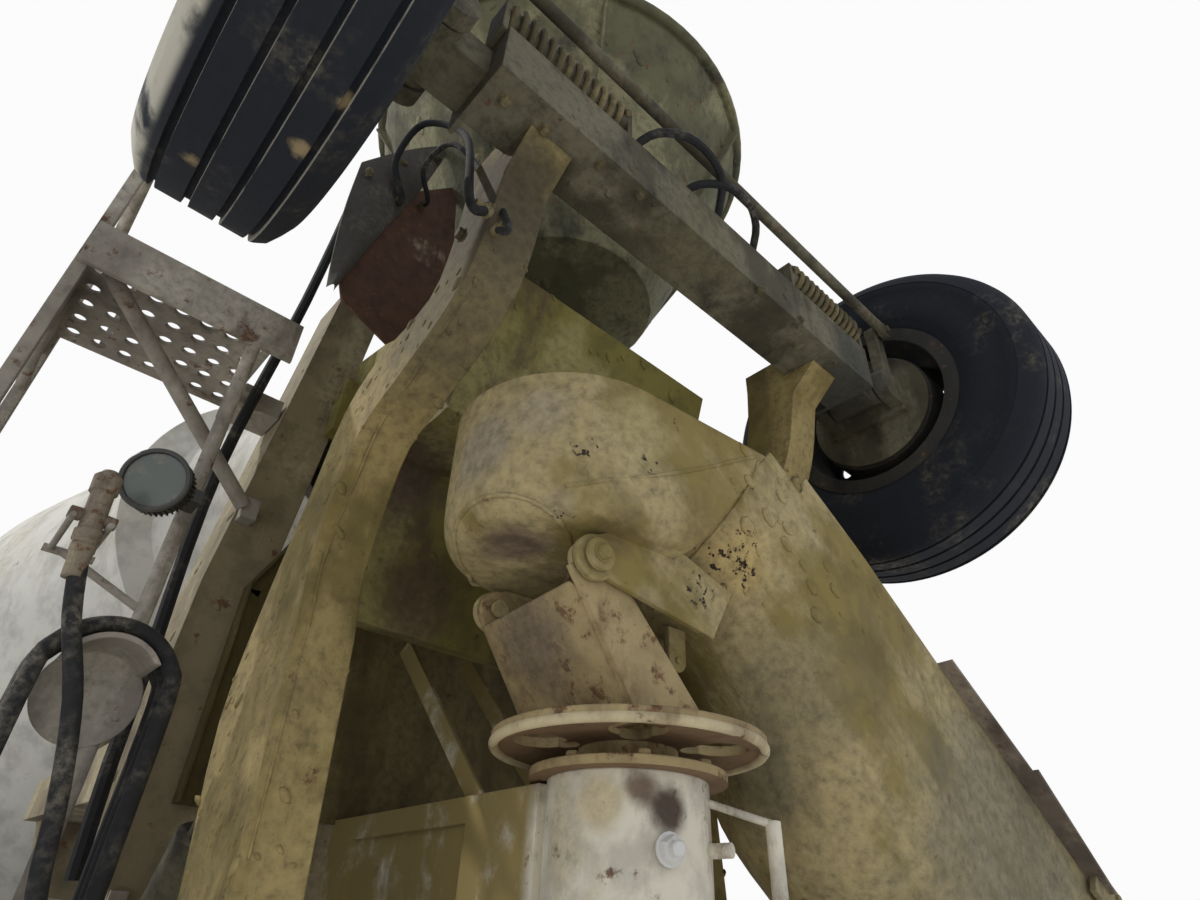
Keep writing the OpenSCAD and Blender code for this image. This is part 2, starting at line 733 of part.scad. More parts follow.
post_back = 220;
post_y = boost_y - post_back;
swivel_stub_r = 60;
module chute_post() {
    beam_x = 130;
    color([0.8, 0.78, 0.66]) difference() {
        union() {
            translate([0, post_y, 900]) cylinder(h = post_top - 900, r = post_r);
            difference() {
                box([-beam_x, beam_x], [leg_y + leg_d + seat, post_y - 100], [1100, post_top - 5]);
                both() box([beam_x - 12, beam_x + 1], [leg_y + leg_d + 120, post_y - 330], [1180, 1600]);
            }
            both() across(10, 100) polygon([
                [post_y - 370, post_top - 8], [post_y - 310, post_top - 8], [post_y - 760, 2090],
                [post_y - 800, 2060]]);
        }
        translate([0, post_y, post_top - 320]) cylinder(h = 400, r = swivel_stub_r + bore_play);
    }
    // Locking lever and its hanging grip
    color([0.35, 0.33, 0.3]) {
        bar([-60, post_y + 120, post_top - 30], [-185, post_y + 185, post_top - 60], 7);
        bar([-185, post_y + 185, post_top - 55], [-180, post_y + 190, post_top - 190], 14);
        bar([-60, post_y + 100, post_top - 110], [-75, post_y + 175, post_top - 110], 12);
    }
}

// Chute

tilt_u = -230;
tilt_z = 1980;
pin_r = 20;
yoke_v = 150;
yoke_t = 14;
ear_t = 14;
rim_u = 326;
rim_z = 2340;
disc_z = 1712;
disc_t = 18;

// The chute's frame: X runs outward along it from the post's axis
module at_chute() {
    translate([0, post_y, 0]) rotate([0, 0, 180 - chute_heading]) children();
}
// The sloping frame: X runs down the rim and Z is square to it
module at_slope() {
    translate([rim_u, 0, rim_z]) rotate([0, chute_slope, 0]) children();
}
module ring_y(r, v0, v1, u, z) {
    translate([u, v0, z]) rotate([-90, 0, 0]) cylinder(h = v1 - v0, r = r);
}
module chute_swivel() {
    color([0.55, 0.5, 0.33]) at_chute() {
        translate([0, 0, post_top - 300]) cylinder(h = 320, r = swivel_stub_r);
        translate([0, 0, post_top + seat]) cylinder(h = 16, r = 185);
        translate([0, 0, post_top + 10]) cylinder(h = disc_z - post_top, r = 95);
        // Spoked lock disc
        translate([0, 0, disc_z]) difference() {
            cylinder(h = disc_t, r = disc_r);
            for (i = [0:4]) rotate([0, 0, 72 * i + 20]) {
                translate([175, 0, -1]) cylinder(h = disc_t + 2, r = 52);
                translate([128, 0, -1]) cylinder(h = disc_t + 2, r = 28);
            }
        }
        difference() {
            union() {
                for (s = [-1, 1]) translate([0, s * (yoke_v + yoke_t / 2) + yoke_t / 2, 0])
                    rotate([90, 0, 0]) linear_extrude(yoke_t) union() {
                        polygon([[70, disc_z + 10], [-110, disc_z + 10], [tilt_u - 42, tilt_z - 20],
                                 [tilt_u + 35, tilt_z + 30]]);
                        translate([tilt_u, tilt_z]) circle(40);
                    }
                // Plate across the back of the yoke
                rotate([90, 0, 0]) translate([0, 0, -yoke_v]) linear_extrude(2 * yoke_v) polygon(
                    [[-110, disc_z + 10], [-98, disc_z + 10], [tilt_u - 20, tilt_z - 50],
                     [tilt_u - 34, tilt_z - 46]]);
                // Lug for the lift cylinder
                for (v = [-40, 26]) translate([0, v + 14, 0]) rotate([90, 0, 0]) linear_extrude(14) union() {
                    translate([ram_u, ram_z]) circle(24);
                    translate([ram_u - 24, disc_z + 10]) square([48, ram_z - disc_z - 10]);
                }
            }
            ring_y(pin_r + bore_play, -300, 300, tilt_u, tilt_z);
            ring_y(ram_pin_r + bore_play, -100, 100, ram_u, ram_z);
        }
    }
}

// The trough's sections: place down the slope, half width and depth
trough = [[-110, chute_r, 402], [200, chute_r, 435], [330, chute_r - 4, 474], [560, chute_r - 12, 570],
          [940, chute_r - 24, 550], [chute_len, chute_end_r, 430]];
// A section's outline with its thickness t taken off, at place s
function trough_ring(s, w, d, t) =
    [for (p = concat([[w - t, t > 0 ? 5 : 0], [t - w, t > 0 ? 5 : 0]], arc([0, w - d], w - t, 180, 360, 16)))
        [s, p[0], p[1]]];
module trough_form(t) {
    last = len(trough) - 1;
    loft([for (i = [0:last]) let (q = trough[i])
        trough_ring(q[0] + (t == 0 ? 0 : i == 0 ? -16 : i == last ? 2 : 0), q[1], q[2], t)]);
}
// The head bucket's levels: height above its bottom and half width
bucket_u = -175;
bucket_z = 2036;
bucket = [[0, 186], [14, 228], [54, 250], [124, chute_r - 6], [309, chute_r - 4]];
// How far out the bucket's sloping front is at height z
function mouth_u(z) = 200 - (2350 - z) * tan(chute_slope - 0.8);
module bucket_form(t) {
    last = len(bucket) - 1;
    loft([for (i = [0:last]) let (q = bucket[i], r = q[1] - t,
              z = bucket_z + q[0] + (t == 0 ? 0 : i == 0 ? t : i == last ? 2 : 0), f = mouth_u(z) - t)
        [for (p = concat([[f, -r], [f, r]], arc([bucket_u, 0], r, 90, 270, 16))) [p[0], p[1], z]]]);
}
hinge_s = chute_len + 34;
hinge_w = 14;
hinge_pin_r = 12;
module main_chute() {
    color([0.62, 0.55, 0.33]) at_chute() {
        difference() {
            union() {
                bucket_form(0);
                at_slope() difference() {
                    trough_form(0);
                    translate([-200, -400, -59]) cube([200, 800, 200]);
                }
            }
            bucket_form(chute_t);
            at_slope() trough_form(chute_t);
        }
        at_slope() {
            // Stepped rim strips and the hinge lugs of the fold-over chute
            for (s = [-1, 1]) {
                linear_extrude(8) polygon([[560, s * (chute_r - 16)], [560, s * (chute_r + 24)],
                    [900, s * (chute_r + 20)], [900, s * (chute_r + 34)],
                    [chute_len, s * (chute_end_r + 42)], [chute_len, s * (chute_end_r - 2)]]);
                difference() {
                    translate([chute_len - 60, s * (chute_end_r + 20) - 8, -40]) cube([112, 16, 76]);
                    translate([hinge_s, s * (chute_end_r + 20) - 20, hinge_w]) rotate([-90, 0, 0])
                        cylinder(h = 40, r = hinge_pin_r + bore_play);
                }
            }
        }
        // Ears outside the yoke, with their pins and bosses
        for (s = [-1, 1]) {
            v = s * (yoke_v + yoke_t + 6 + ear_t / 2);
            translate([0, v + ear_t / 2, 0]) rotate([90, 0, 0]) linear_extrude(ear_t) union() {
                translate([tilt_u, tilt_z]) circle(44);
                polygon([[tilt_u - 30, tilt_z + 30], [tilt_u + 30, tilt_z - 34],
                         [60, 1900], [120, 2010], [-60, bucket_z + 40], [-200, bucket_z + 4]]);
            }
            ring_y(pin_r, v - (s > 0 ? 36 : ear_t / 2 + 10), v + (s > 0 ? ear_t / 2 + 10 : 36), tilt_u, tilt_z);
        }
        // Lug that the lift cylinder's rod holds
        for (v = [-40, 26]) translate([0, v + 14, 0]) rotate([90, 0, 0]) linear_extrude(14) difference() {
            union() {
                translate([ram_u, eye_z]) circle(24);
                translate([ram_u - 24, eye_z]) square([48, 70]);
            }
            translate([ram_u, eye_z]) circle(ram_pin_r - 3);
        }
        ring_y(ram_pin_r - 3, -44, 44, ram_u, eye_z);
    }
}
module fold_section(t) {
    translate([0, 240 - chute_end_r]) circle(chute_end_r - t, $fn = 48);
    translate([-chute_end_r + t, t > 0 ? -1 : 0]) square([2 * (chute_end_r - t), 240 - chute_end_r + (t > 0 ? 1 : 0)]);
}
module fold_chute() {
    color([0.5, 0.47, 0.3]) at_chute() at_slope() {
        translate([hinge_s - 22 - fold_len, 0, hinge_w + 6]) {
            difference() {
                rotate([90, 0, 90]) linear_extrude(fold_len) intersection() {
                    fold_section(0);
                    translate([-500, 0]) square([1000, 400]);
                }
                translate([-1, 0, 0]) rotate([90, 0, 90]) linear_extrude(fold_len + 2) fold_section(chute_t);
            }
        }
        for (s = [-1, 1]) {
            v = s * (chute_end_r - 12);
            translate([hinge_s - 80, v - 8, hinge_w - 4]) cube([80, 16, 50]);
            translate([hinge_s, v - 8, hinge_w]) rotate([-90, 0, 0]) cylinder(h = 16, r = 24);
        }
        translate([hinge_s, -chute_end_r - 34, hinge_w]) rotate([-90, 0, 0])
            cylinder(h = 2 * chute_end_r + 68, r = hinge_pin_r);
    }
}

// Lift cylinder between the swivel and the chute

ram_u = 100;
ram_z = 1782;
eye_z = 1902;
ram_pin_r = 10;
ram_barrel_r = 22;
ram_rod_r = 11;
module lift_barrel() {
    color([0.6, 0.5, 0.15]) at_chute() {
        difference() {
            union() {
                translate([ram_u, 0, ram_z]) cylinder(h = 66, r = ram_barrel_r);
                ring_y(20, -20, 20, ram_u, ram_z);
            }
            translate([ram_u, 0, ram_z + 22]) cylinder(h = 90, r = ram_rod_r + bore_play);
        }
        ring_y(ram_pin_r, -44, 44, ram_u, ram_z);
    }
}
module lift_rod() {
    color([0.8, 0.8, 0.8]) at_chute() {
        translate([ram_u, 0, ram_z + 44]) cylinder(h = eye_z - ram_z - 54, r = ram_rod_r);
        difference() {
            ring_y(18, -18, 18, ram_u, eye_z);
            ring_y(ram_pin_r + 2, -19, 19, ram_u, eye_z);
        }
    }
}

// Booster arms, raised

// The beam's middle from the axle
beam_y = 40;
beam_z = -10;
arm_rear = [[-430, 960], [-445, 1250], [-461, 1468], [-482, 1704], [-496, 1872], [-520, 2004],
            [-490, 2166], [-440, 2292], [-325, 2352], [-185, 2424], [-95, 2503], [-51, 2607], [-20, 2754]];
arm_front = [[-177, 2838], [-193, 2676], [-251, 2534], [-450, 2492], [-576, 2397], [-650, 2187],
             [-728, 1977], [-776, 1746], [-692, 1452], [-660, 1200], [-665, 960]];
module booster_arms() {
    beam_under = booster_z + beam_z - beam_s / 2;
    color([0.5, 0.45, 0.28]) {
        both() difference() {
            across(arm_w, arm_x - arm_w / 2) translate([boost_y, 0]) union() {
                difference() {
                    polygon(concat(smooth(arm_rear, 3), [[60, beam_under - seat], [60, 2900], [-177, 2900]],
                                   smooth(arm_front, 3)));
                    translate([-40 - seat, beam_under - seat]) square([400, 400]);
                }
                translate([-550, pivot_z]) circle(120);
            }
        }
        xcyl(pivot_tube_r, 2 * (arm_x - arm_w) + 40, 0, pivot_y, pivot_z);
        both() xcyl(85, 24, arm_x + 8, pivot_y, pivot_z);
    }
}
module booster_cylinders() {
    color([0.3, 0.3, 0.26]) both() {
        bar([510, leg_y + leg_d + 40, 1290], [510, boost_y - 900, 1560], 48);
        bar([510, boost_y - 900, 1560], [510, boost_y - 850, 1640], 26);
        box([480, 540], [leg_y + leg_d + seat, leg_y + leg_d + 60], [1255, 1330]);
    }
}

module booster_axle() {
    color([0.42, 0.36, 0.2]) translate([0, boost_y, booster_z]) {
        // Box beam, open inside
        difference() {
            box([-700, 700], [beam_y - beam_s / 2, beam_y + beam_s / 2], [beam_z - beam_s / 2, beam_z + beam_s / 2]);
            box([-701, 701], [beam_y - beam_s / 2 + 12, beam_y + beam_s / 2 - 12],
                [beam_z - beam_s / 2 + 12, beam_z + beam_s / 2 - 12]);
        }
        both() {
            box([688, 700], [-79, beam_y + beam_s / 2], [beam_z - beam_s / 2, beam_z + beam_s / 2]);
            rotate([90, 0, 0]) axle_end(booster_kingpin_x, 690);
            // Centring springs with their guides
            translate([343, beam_y + 40, 150]) rotate([0, 90, 0]) rotate_extrude() {
                square([30, 358]);
            }
            for (x = [330, 700])
                box([x, x + 14], [beam_y + 5, beam_y + 68], [beam_z + beam_s / 2 - 1, 182]);
        }
    }
}

// Fenders, lamps, exhaust

module rear_fenders() {
    r = tyre_r + 70;
    color([0.1, 0.1, 0.1]) both() {
        difference() {
            across(660, drive_track) difference() {
                union() {
                    translate([drive_ys[0], tyre_r]) circle(r);
                    translate([drive_ys[1], tyre_r]) circle(r);
                    translate([drive_ys[0], tyre_r]) square([tandem_gap, r]);
                }
                translate([drive_ys[0], tyre_r]) circle(r - 8);
                translate([drive_ys[1], tyre_r]) circle(r - 8);
                translate([drive_ys[0], tyre_r - r]) square([tandem_gap, 2 * r - 8]);
                translate([drive_ys[0] - 700, tyre_r - 700]) square([3000, 880]);
            }
        }
        for (y = drive_ys)
            bar([rail_x + seat, y, frame_top - 60], [drive_track - 320, y, frame_top - 60], 18);
        for (y = drive_ys)
            box([drive_track - 336, drive_track - 318], [y - 60, y + 60], [frame_top - 90, tyre_r + r - 6]);
    }
}
module lamps() {
    color([0.75, 0.1, 0.08]) {
        // Rear lamps on their bar
        both() {
            for (k = [0:2])
                translate([700 + 130 * k, rail_rear - 300, 780]) rotate([-90, 0, 0]) cylinder(h = 40, r = 50);
        }
    }
    color([0.3, 0.3, 0.3]) {
        both() box([rail_x + seat, 1020], [rail_rear - 330, rail_rear - 300], [720, 840]);
        // Work lamp on its bracket
        translate([835, ladder_y + 60, 2185]) rotate([-105, 0, -25]) cylinder(h = 52, r = 62);
        box([755, 850], [ladder_y + 12 + seat, ladder_y + 75], [2170, 2200]);
    }
}
stack_x = -820;
stack_y = cab_rear + 130;
module exhaust_stack() {
    color([0.75, 0.75, 0.75]) {
        difference() {
            union() {
                translate([stack_x, stack_y, frame_top + 60]) cylinder(h = 2050, r = 65);
                translate([stack_x, stack_y, frame_top + 330]) cylinder(h = 1250, r = 100);
            }
            translate([stack_x, stack_y, frame_top + 1700]) cylinder(h = 500, r = 59);
        }
        box([stack_x, -rail_x + rail_t], [stack_y - 40, stack_y - 12], [frame_top + seat, frame_top + 61]);
    }
}

// Hoses that their clips hold all the way

leg_hose = [[600, -1130, 3700], [612, -1125, 3450], [630, -1128, 3150], [652, -1130, 2900],
            [672, -1128, 2700], [690, -1126, 2450], [690, -1120, 2200], [680, -1110, 1950],
            [675, -1110, 1700], [660, -1112, 1480]];
beam_top = beam_z + beam_s / 2 + seat;
beam_hoses = [
    [[300, 85, 0], [300, 95, 30], [270, 140, 62], [200, 175, 82], [120, 180, 84], [50, 160, 70], [5, 110, 35], [0, 90, 0]],
    [[120, 60, 0], [118, 75, 30], [90, 120, 55], [30, 160, 66], [-50, 168, 70], [-120, 140, 58], [-155, 100, 30], [-160, 85, 0]]];
module fixed_hoses() {
    color([0.08, 0.08, 0.08]) {
        translate([0, boost_y, 0]) tube(smooth(leg_hose, 2), 16);
        for (h = beam_hoses) translate([0, boost_y, booster_z + beam_top]) {
            translate([0, 0, 6.5]) tube(smooth(h, 3), 11);
            for (p = [h[0], h[7]]) translate(p) cylinder(h = 16, r = 14);
        }
    }
}

// Wash-down hose: three loops over its rack, then up to the nozzle; y from the booster axle
wash_r = 15;
wash_y = [-825, -785, -745, -710];
rack = [800, 1760];
foot = [800, 1040];
loop_r = 110;
rack_r = 90;
wash_end = [[705, -706, 1200], [745, -702, 1330], [780, -700, 1450], [803, -700, 1580],
            [840, -700, 1720], [893, -700, 1850], [922, -700, 1960]];
wash_route = concat(
    [[rack[0] - loop_r, wash_y[0], 1250], [rack[0] - loop_r, wash_y[0], 1500]],
    [for (k = [0:2]) each concat(
        [for (p = arc(rack, loop_r, 180, 0, 6)) [p[0], wash_y[k], p[1]]],
        [for (z = [1520, 1280]) [rack[0] + loop_r, wash_y[k], z]],
        [for (i = [0:6]) let (p = foot + loop_r * [cos(30 * i), -sin(30 * i)])
            [p[0], wash_y[k] + (wash_y[k + 1] - wash_y[k]) * i / 6, p[1]]],
        k < 2 ? [for (z = [1280, 1520]) [rack[0] - loop_r, wash_y[k + 1], z]] : [])],
    wash_end);
module wash_hose() {
    color([0.1, 0.1, 0.1]) translate([0, boost_y, 0]) tube(wash_route, wash_r, 8);
}
// The rack that its loops hang on, its tap and the nozzle's fork
module wash_rack() {
    translate([0, boost_y, 0]) {
        difference() {
            translate([rack[0], -852.5, rack[1]]) rotate([-90, 0, 0]) cylinder(h = 130, r = rack_r);
            translate([rack[0], -846, rack[1]]) rotate([-90, 0, 0]) cylinder(h = 130, r = rack_r - 10);
            box([rack[0] - 200, rack[0] + 200], [-846, -700], [rack[1] - 200, rack[1] + 50]);
        }
        translate([rack[0] - loop_r, wash_y[0], 1180]) cylinder(h = 70 - seat, r = 22);
        box([rack[0] - loop_r, pole_x + 5], [wash_y[0] - 29, wash_y[0] - 15], [1195, 1235]);
        for (x = [900, 962])
            bar([x, -870, nozzle_z - 15.3], [x, -670, nozzle_z - 15.3], 6);
        xcyl(8, 90, 930, -868, nozzle_z - 15.3);
        bar([940, -868, nozzle_z - 15.3], [pole_x, -866, nozzle_z - 90], 8);
    }
}
nozzle_z = 2030;
module wash_nozzle() {
    color([0.4, 0.35, 0.3]) translate([0, boost_y, 0]) {
        bar([923, -700, 1964], [936, -700, 2120], 20);
        bar([890, -700, nozzle_z], [970, -700, nozzle_z], 9);
    }
}

// Cab: outline in (y, z), hollow, its openings cut

door_y = [cab_front + 170, cab_front + 1180];
door_z = [frame_top + 60, 2620];
window_z = [1930, 2520];
hinge_out = 12;
hinge_z = [1350, 2250];
function cab_outline(t) = [
    [cab_front + t, frame_top + 20 + t], [cab_front + t, 1790], [cab_front + 270 + t, 2560 - t / 2],
    [cab_front + 420, cab_top - 40 - t], [cab_front + 800, cab_top - t], [cab_rear - 200, cab_top - 20 - t],
    [cab_rear - 60 - t, cab_top - 100 - t / 2], [cab_rear - t, cab_top - 260], [cab_rear - t, frame_top + 20 + t]];
// The windscreen's opening, drawn square to the slanted front
screen_a = [cab_front, 1860];
module windscreen(y0, y1, inset) {
    slant = atan2(270, 770);
    translate([0, cab_front + 24, 1860]) rotate([-slant, 0, 0])
        box([-cab_w / 2 + 130 + inset, cab_w / 2 - 130 - inset], [y0, y1], [inset, 640 - inset]);
}
module cab_shell() {
    color([0.9, 0.9, 0.88]) difference() {
        union() {
            difference() {
                across(cab_w) polygon(cab_outline(0));
                across(cab_w - 2 * cab_t) polygon(cab_outline(cab_t));
                both() box([cab_w / 2 - cab_t - 20, cab_w / 2 + 1],
                    [door_y[0] - run, door_y[1] + run], [door_z[0] - run, door_z[1] + run]);
            }
        }
        windscreen(-80, 90, 0);
        box([-600, 600], [cab_rear - cab_t - 5, cab_rear + 5], [1950, 2420]);
    }
    // The cab's halves of the door hinges
    color([0.9, 0.9, 0.88]) both() for (z = hinge_z) for (h = [z - 35 - seat, z + 70 + seat]) {
        translate([cab_w / 2 + hinge_out, door_y[0], h]) cylinder(h = 35, r = 9);
        box([cab_w / 2 - 1, cab_w / 2 + hinge_out], [door_y[0] - 50, door_y[0] - 2], [h, h + 35]);
    }
}
module cab_glass() {
    color([0.5, 0.6, 0.65, 0.4]) {
        windscreen(2, 8, 1);
        box([-599, 599], [cab_rear - 28, cab_rear - 22], [1951, 2419]);
    }
}
module door() {
    x1 = cab_w / 2;
    color([0.9, 0.9, 0.88]) {
        difference() {
            box([x1 - cab_t, x1], door_y, door_z);
            box([x1 - cab_t - 1, x1 + 1], [door_y[0] + 90, door_y[1] - 90], window_z);
        }
        for (z = hinge_z) {
            translate([x1 + hinge_out, door_y[0], z]) cylinder(h = 70, r = 9);
            box([x1 - 1, x1 + hinge_out], [door_y[0], door_y[0] + 60], [z, z + 70]);
        }
        box([x1 - 1, x1 + 22], [door_y[1] - 170, door_y[1] - 50], [1560, 1590]);
    }
}
module door_glass() {
    x1 = cab_w / 2;
    color([0.5, 0.6, 0.65, 0.4])
        box([x1 - 28, x1 - 22], [door_y[0] + 90 + seat, door_y[1] - 90 - seat],
            [window_z[0] + seat, window_z[1] - seat]);
}
seat_floor = frame_top + 20 + 50;
module cab_interior() {
    color([0.2, 0.2, 0.21]) {
        for (x = [-470, 470]) {
            box([x - 190, x + 190], [cab_front + 760, cab_front + 1180], [seat_floor + seat, seat_floor + 300]);
            box([x - 250, x + 250], [cab_front + 740, cab_front + 1230], [seat_floor + 300, seat_floor + 430]);
            across(480, x) polygon([[cab_front + 1180, seat_floor + 420], [cab_front + 1300, seat_floor + 420],
                [cab_front + 1420, 2150], [cab_front + 1330, 2170]]);
        }
        across(cab_w - 2 * cab_t - 60) polygon([[cab_front + cab_t + 1, 1350], [cab_front + 330, 1350],
            [cab_front + 390, 1650], [cab_front + 330, 1740], [cab_front + cab_t + 1, 1740]]);
        translate([470, cab_front + 540, 1760]) rotate([-55, 0, 0]) {
            rotate_extrude() translate([215, 0]) circle(14, $fn = 16);
            for (a = [90, 210, 330]) rotate([0, 0, a]) translate([0, -15, -6]) cube([212, 30, 12]);
            translate([0, 0, -14]) cylinder(h = 28, r = 55);
        }
        bar([470, cab_front + 540, 1760], [470, cab_front + 350, 1660], 24);
    }
}
module mirrors() {
    x1 = mirror_span / 2;
    y = cab_front + 50;
    color([0.12, 0.12, 0.12]) both() {
        box([x1 - 230, x1], [y - 40, y + 40], [1900, 2360]);
        box([x1 - 230, x1], [y - 30, y + 35], [1660, 1870]);
        for (z = [1500, 1760])
            bar([cab_w / 2 + seat, y, z], [x1 - 120, y, z], 14);
        bar([x1 - 120, y, 1486], [x1 - 120, y, 2390], 14);
    }
}

// Hood with its fenders, open below and behind

hood_rear = cab_front - run;
hood_front = front_y + 100;
hood_base = 870;
hood_pivot = front_y + 110;
hinge_low = 834;
function hood_outline(t) = [
    [hood_rear + (t > 0 ? 5 : 0), 1080], [hood_rear + (t > 0 ? 5 : 0), 1780 - t],
    [hood_front + 500, 1730 - t], [hood_front + 190, 1670 - t], [hood_front + 60 + t, 1560 - t],
    [hood_front + t, 1380], [hood_front + t, hood_base - (t > 0 ? 10 : 0)], [hood_front + 240, hood_base - (t > 0 ? 10 : 0)],
    [hood_front + 400, 1080 - (t > 0 ? 10 : 0)]];
function fender_outline(t) = concat(
    [[hood_front + 90 + t, hood_base - (t > 0 ? 10 : 0)], [hood_front + 90 + t, 1100], [hood_front + 200 + t, 1230 - t]],
    [[front_axle_y + 60, 1290 - t], [front_axle_y + 330, 1220 - t], [hood_rear - 10 - t, 1000 - t],
     [hood_rear - 10 - t, 900 - (t > 0 ? 10 : 0)]]);
fender_w = 2380;
module hood() {
    arch_r = tyre_r + 85;
    side_w = (fender_w - hood_w) / 2 + hood_t;
    color([0.9, 0.9, 0.88]) difference() {
        union() {
            difference() {
                across(hood_w) polygon(hood_outline(0));
                across(hood_w - 2 * hood_t) polygon(hood_outline(hood_t));
            }
            both() difference() {
                across(side_w, (fender_w - side_w) / 2) polygon(fender_outline(0));
                across(side_w, (fender_w - side_w) / 2 - hood_t) polygon(fender_outline(hood_t));
                box([0, hood_w / 2 - hood_t], [hood_front - 10, hood_rear + 10], [0, cab_top]);
            }
        }
        xcyl(arch_r, fender_w + 10, 0, front_axle_y, tyre_r);
        box([-420, 420], [hood_front - 5, hood_front + 40], [930, 1480]);
    }
    // Hinge ears beside the bumper's bosses
    color([0.9, 0.9, 0.88]) both() {
        xcyl(14, 16, 388 + seat, hood_pivot, hinge_low + 16);
        box([380 + seat, 396 + seat], [hood_front + 1, hood_pivot + 8], [hinge_low + 16, hood_base + 30]);
    }
}
module grille() {
    color([0.7, 0.7, 0.7]) {
        for (x = [-3:3])
            box([x * 115 - 12, x * 115 + 12], [hood_front - 4, hood_front + 12], [932, 1478]);
        for (z = [930 + seat, 1462 - seat])
            box([-419, 419], [hood_front - 4, hood_front + 12], [z, z + 18]);
        both() box([395, 419], [hood_front - 4, hood_front + 12], [932, 1478]);
    }
    color([0.9, 0.9, 0.85]) both()
        translate([850, hood_front + 90, 980]) rotate([90, 0, 0]) cylinder(h = 46, r = 95);
}

chassis_frame();
front_bumper();
engine_block();
front_axle();
drive_axles();
tanks();
drum_pedestals();
platform();
collector();
charge_hopper();
chute_post();
rear_fenders();
lamps();
exhaust_stack();
booster_arms();
booster_axle();
booster_cylinders();
fixed_hoses();
wash_hose();
wash_nozzle();
cab_shell();
cab_glass();
cab_interior();
mirrors();
hood();
grille();
front_tie_rod();
booster_tie_rod();
drum();
chute_swivel();
main_chute();
fold_chute();
lift_barrel();
lift_rod();
for (s = [["left", 1], ["right", -1]]) side(s[1]) {
    door();
    door_glass();
    roller();
    knuckle_front();
    knuckle_booster();
    tyre_front();
    rim_front();
    tyre_booster();
    rim_booster();
    for (i = [0, 1]) {
        tyres_drive(i);
        rims_drive(i);
    }
}
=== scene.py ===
import bisect
import math
import random

import bmesh
import bpy
from mathutils import Matrix, Vector
from mathutils.bvhtree import BVHTree


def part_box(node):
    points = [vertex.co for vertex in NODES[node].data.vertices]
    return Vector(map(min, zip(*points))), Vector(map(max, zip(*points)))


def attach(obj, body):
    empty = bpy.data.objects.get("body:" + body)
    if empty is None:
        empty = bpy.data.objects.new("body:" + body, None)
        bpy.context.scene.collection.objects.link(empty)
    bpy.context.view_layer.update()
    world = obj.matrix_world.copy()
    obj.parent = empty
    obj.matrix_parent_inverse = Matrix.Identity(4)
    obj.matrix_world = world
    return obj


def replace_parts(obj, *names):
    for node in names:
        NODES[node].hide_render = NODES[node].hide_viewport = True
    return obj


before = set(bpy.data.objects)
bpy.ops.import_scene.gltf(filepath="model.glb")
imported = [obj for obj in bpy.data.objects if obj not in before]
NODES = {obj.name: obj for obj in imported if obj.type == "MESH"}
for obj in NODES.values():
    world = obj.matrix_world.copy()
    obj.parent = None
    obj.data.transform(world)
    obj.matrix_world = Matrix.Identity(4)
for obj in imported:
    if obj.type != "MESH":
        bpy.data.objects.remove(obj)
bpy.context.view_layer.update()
random.seed(7)

# Places taken from the frame
rim_lo, rim_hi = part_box("rim_booster_left")
AX_Y = (rim_lo.y + rim_hi.y) / 2
AX_Z = (rim_lo.z + rim_hi.z) / 2


def at(x, y, z):
    """A point given from the raised axle's place along the truck."""
    return Vector((x, AX_Y + y, z))


# Camera
cam_data = bpy.data.cameras.new("camera")
cam_data.sensor_width = 36
cam_data.lens = 21.6
cam_data.clip_start = 0.02
cam_data.clip_end = 100
cam = bpy.data.objects.new("camera", cam_data)
bpy.context.scene.collection.objects.link(cam)
bpy.context.scene.camera = cam
YAW, PITCH, ROLL = math.radians(41.75), math.radians(34.78), math.radians(2.217)
fwd = Vector((-math.sin(YAW) * math.cos(PITCH), -math.cos(YAW) * math.cos(PITCH), math.sin(PITCH)))
right0 = fwd.cross(Vector((0, 0, 1))).normalized()
up0 = right0.cross(fwd)
right = math.cos(ROLL) * right0 + math.sin(ROLL) * up0
up = -math.sin(ROLL) * right0 + math.cos(ROLL) * up0
rot = Matrix((right, up, -fwd)).transposed()
CAM_AT = at(1.025, 0.815, 1.40)
cam.matrix_world = Matrix.Translation(CAM_AT) @ rot.to_4x4()
PHOTO_W, PHOTO_H = 1200, 900
CHUTE_AWAY = 1.9
PIXEL = cam_data.sensor_width / cam_data.lens / PHOTO_W
surfaces = {}


def view_ray(u, v):
    """The camera's direction through a point of the photograph, given in its pixels."""
    return (fwd + right * (u - PHOTO_W / 2) * PIXEL - up * (v - PHOTO_H / 2) * PIXEL).normalized()


def in_plane(u, v, y):
    """Where the ray at (u, v) meets the upright plane across the truck at y."""
    ray = view_ray(u, v)
    return CAM_AT + ray * ((y - CAM_AT.y) / ray.y)


def hit(o, u, v):
    """Where the ray at (u, v) meets an object, and the way its surface faces there.

    A ray that just misses gives the nearest point of the surface, at the chute's distance.
    """
    o = NODES[o] if isinstance(o, str) else o
    if o.name not in surfaces:
        surfaces[o.name] = BVHTree.FromPolygons([x.co for x in o.data.vertices],
                                                [tuple(f.vertices) for f in o.data.polygons])
    ray = view_ray(u, v)
    p, n = surfaces[o.name].ray_cast(CAM_AT, ray)[:2]
    if p is None:
        p, n = surfaces[o.name].find_nearest(CAM_AT + ray * CHUTE_AWAY)[:2]
    return p, n if n.dot(ray) < 0 else -n


def tint_patches(o, rows):
    """Patches given by their place in the picture, size in metres, colour and cover; some are painted shade
    and painted sunlight.
    """
    return [(hit(o, u, v)[0], size, srgb(*tint), cover) for u, v, size, tint, cover in rows]


def pitted(o, rows):
    """Pitted places given by their place in the picture and size in metres."""
    return [(hit(o, u, v)[0], size) for u, v, size in rows]


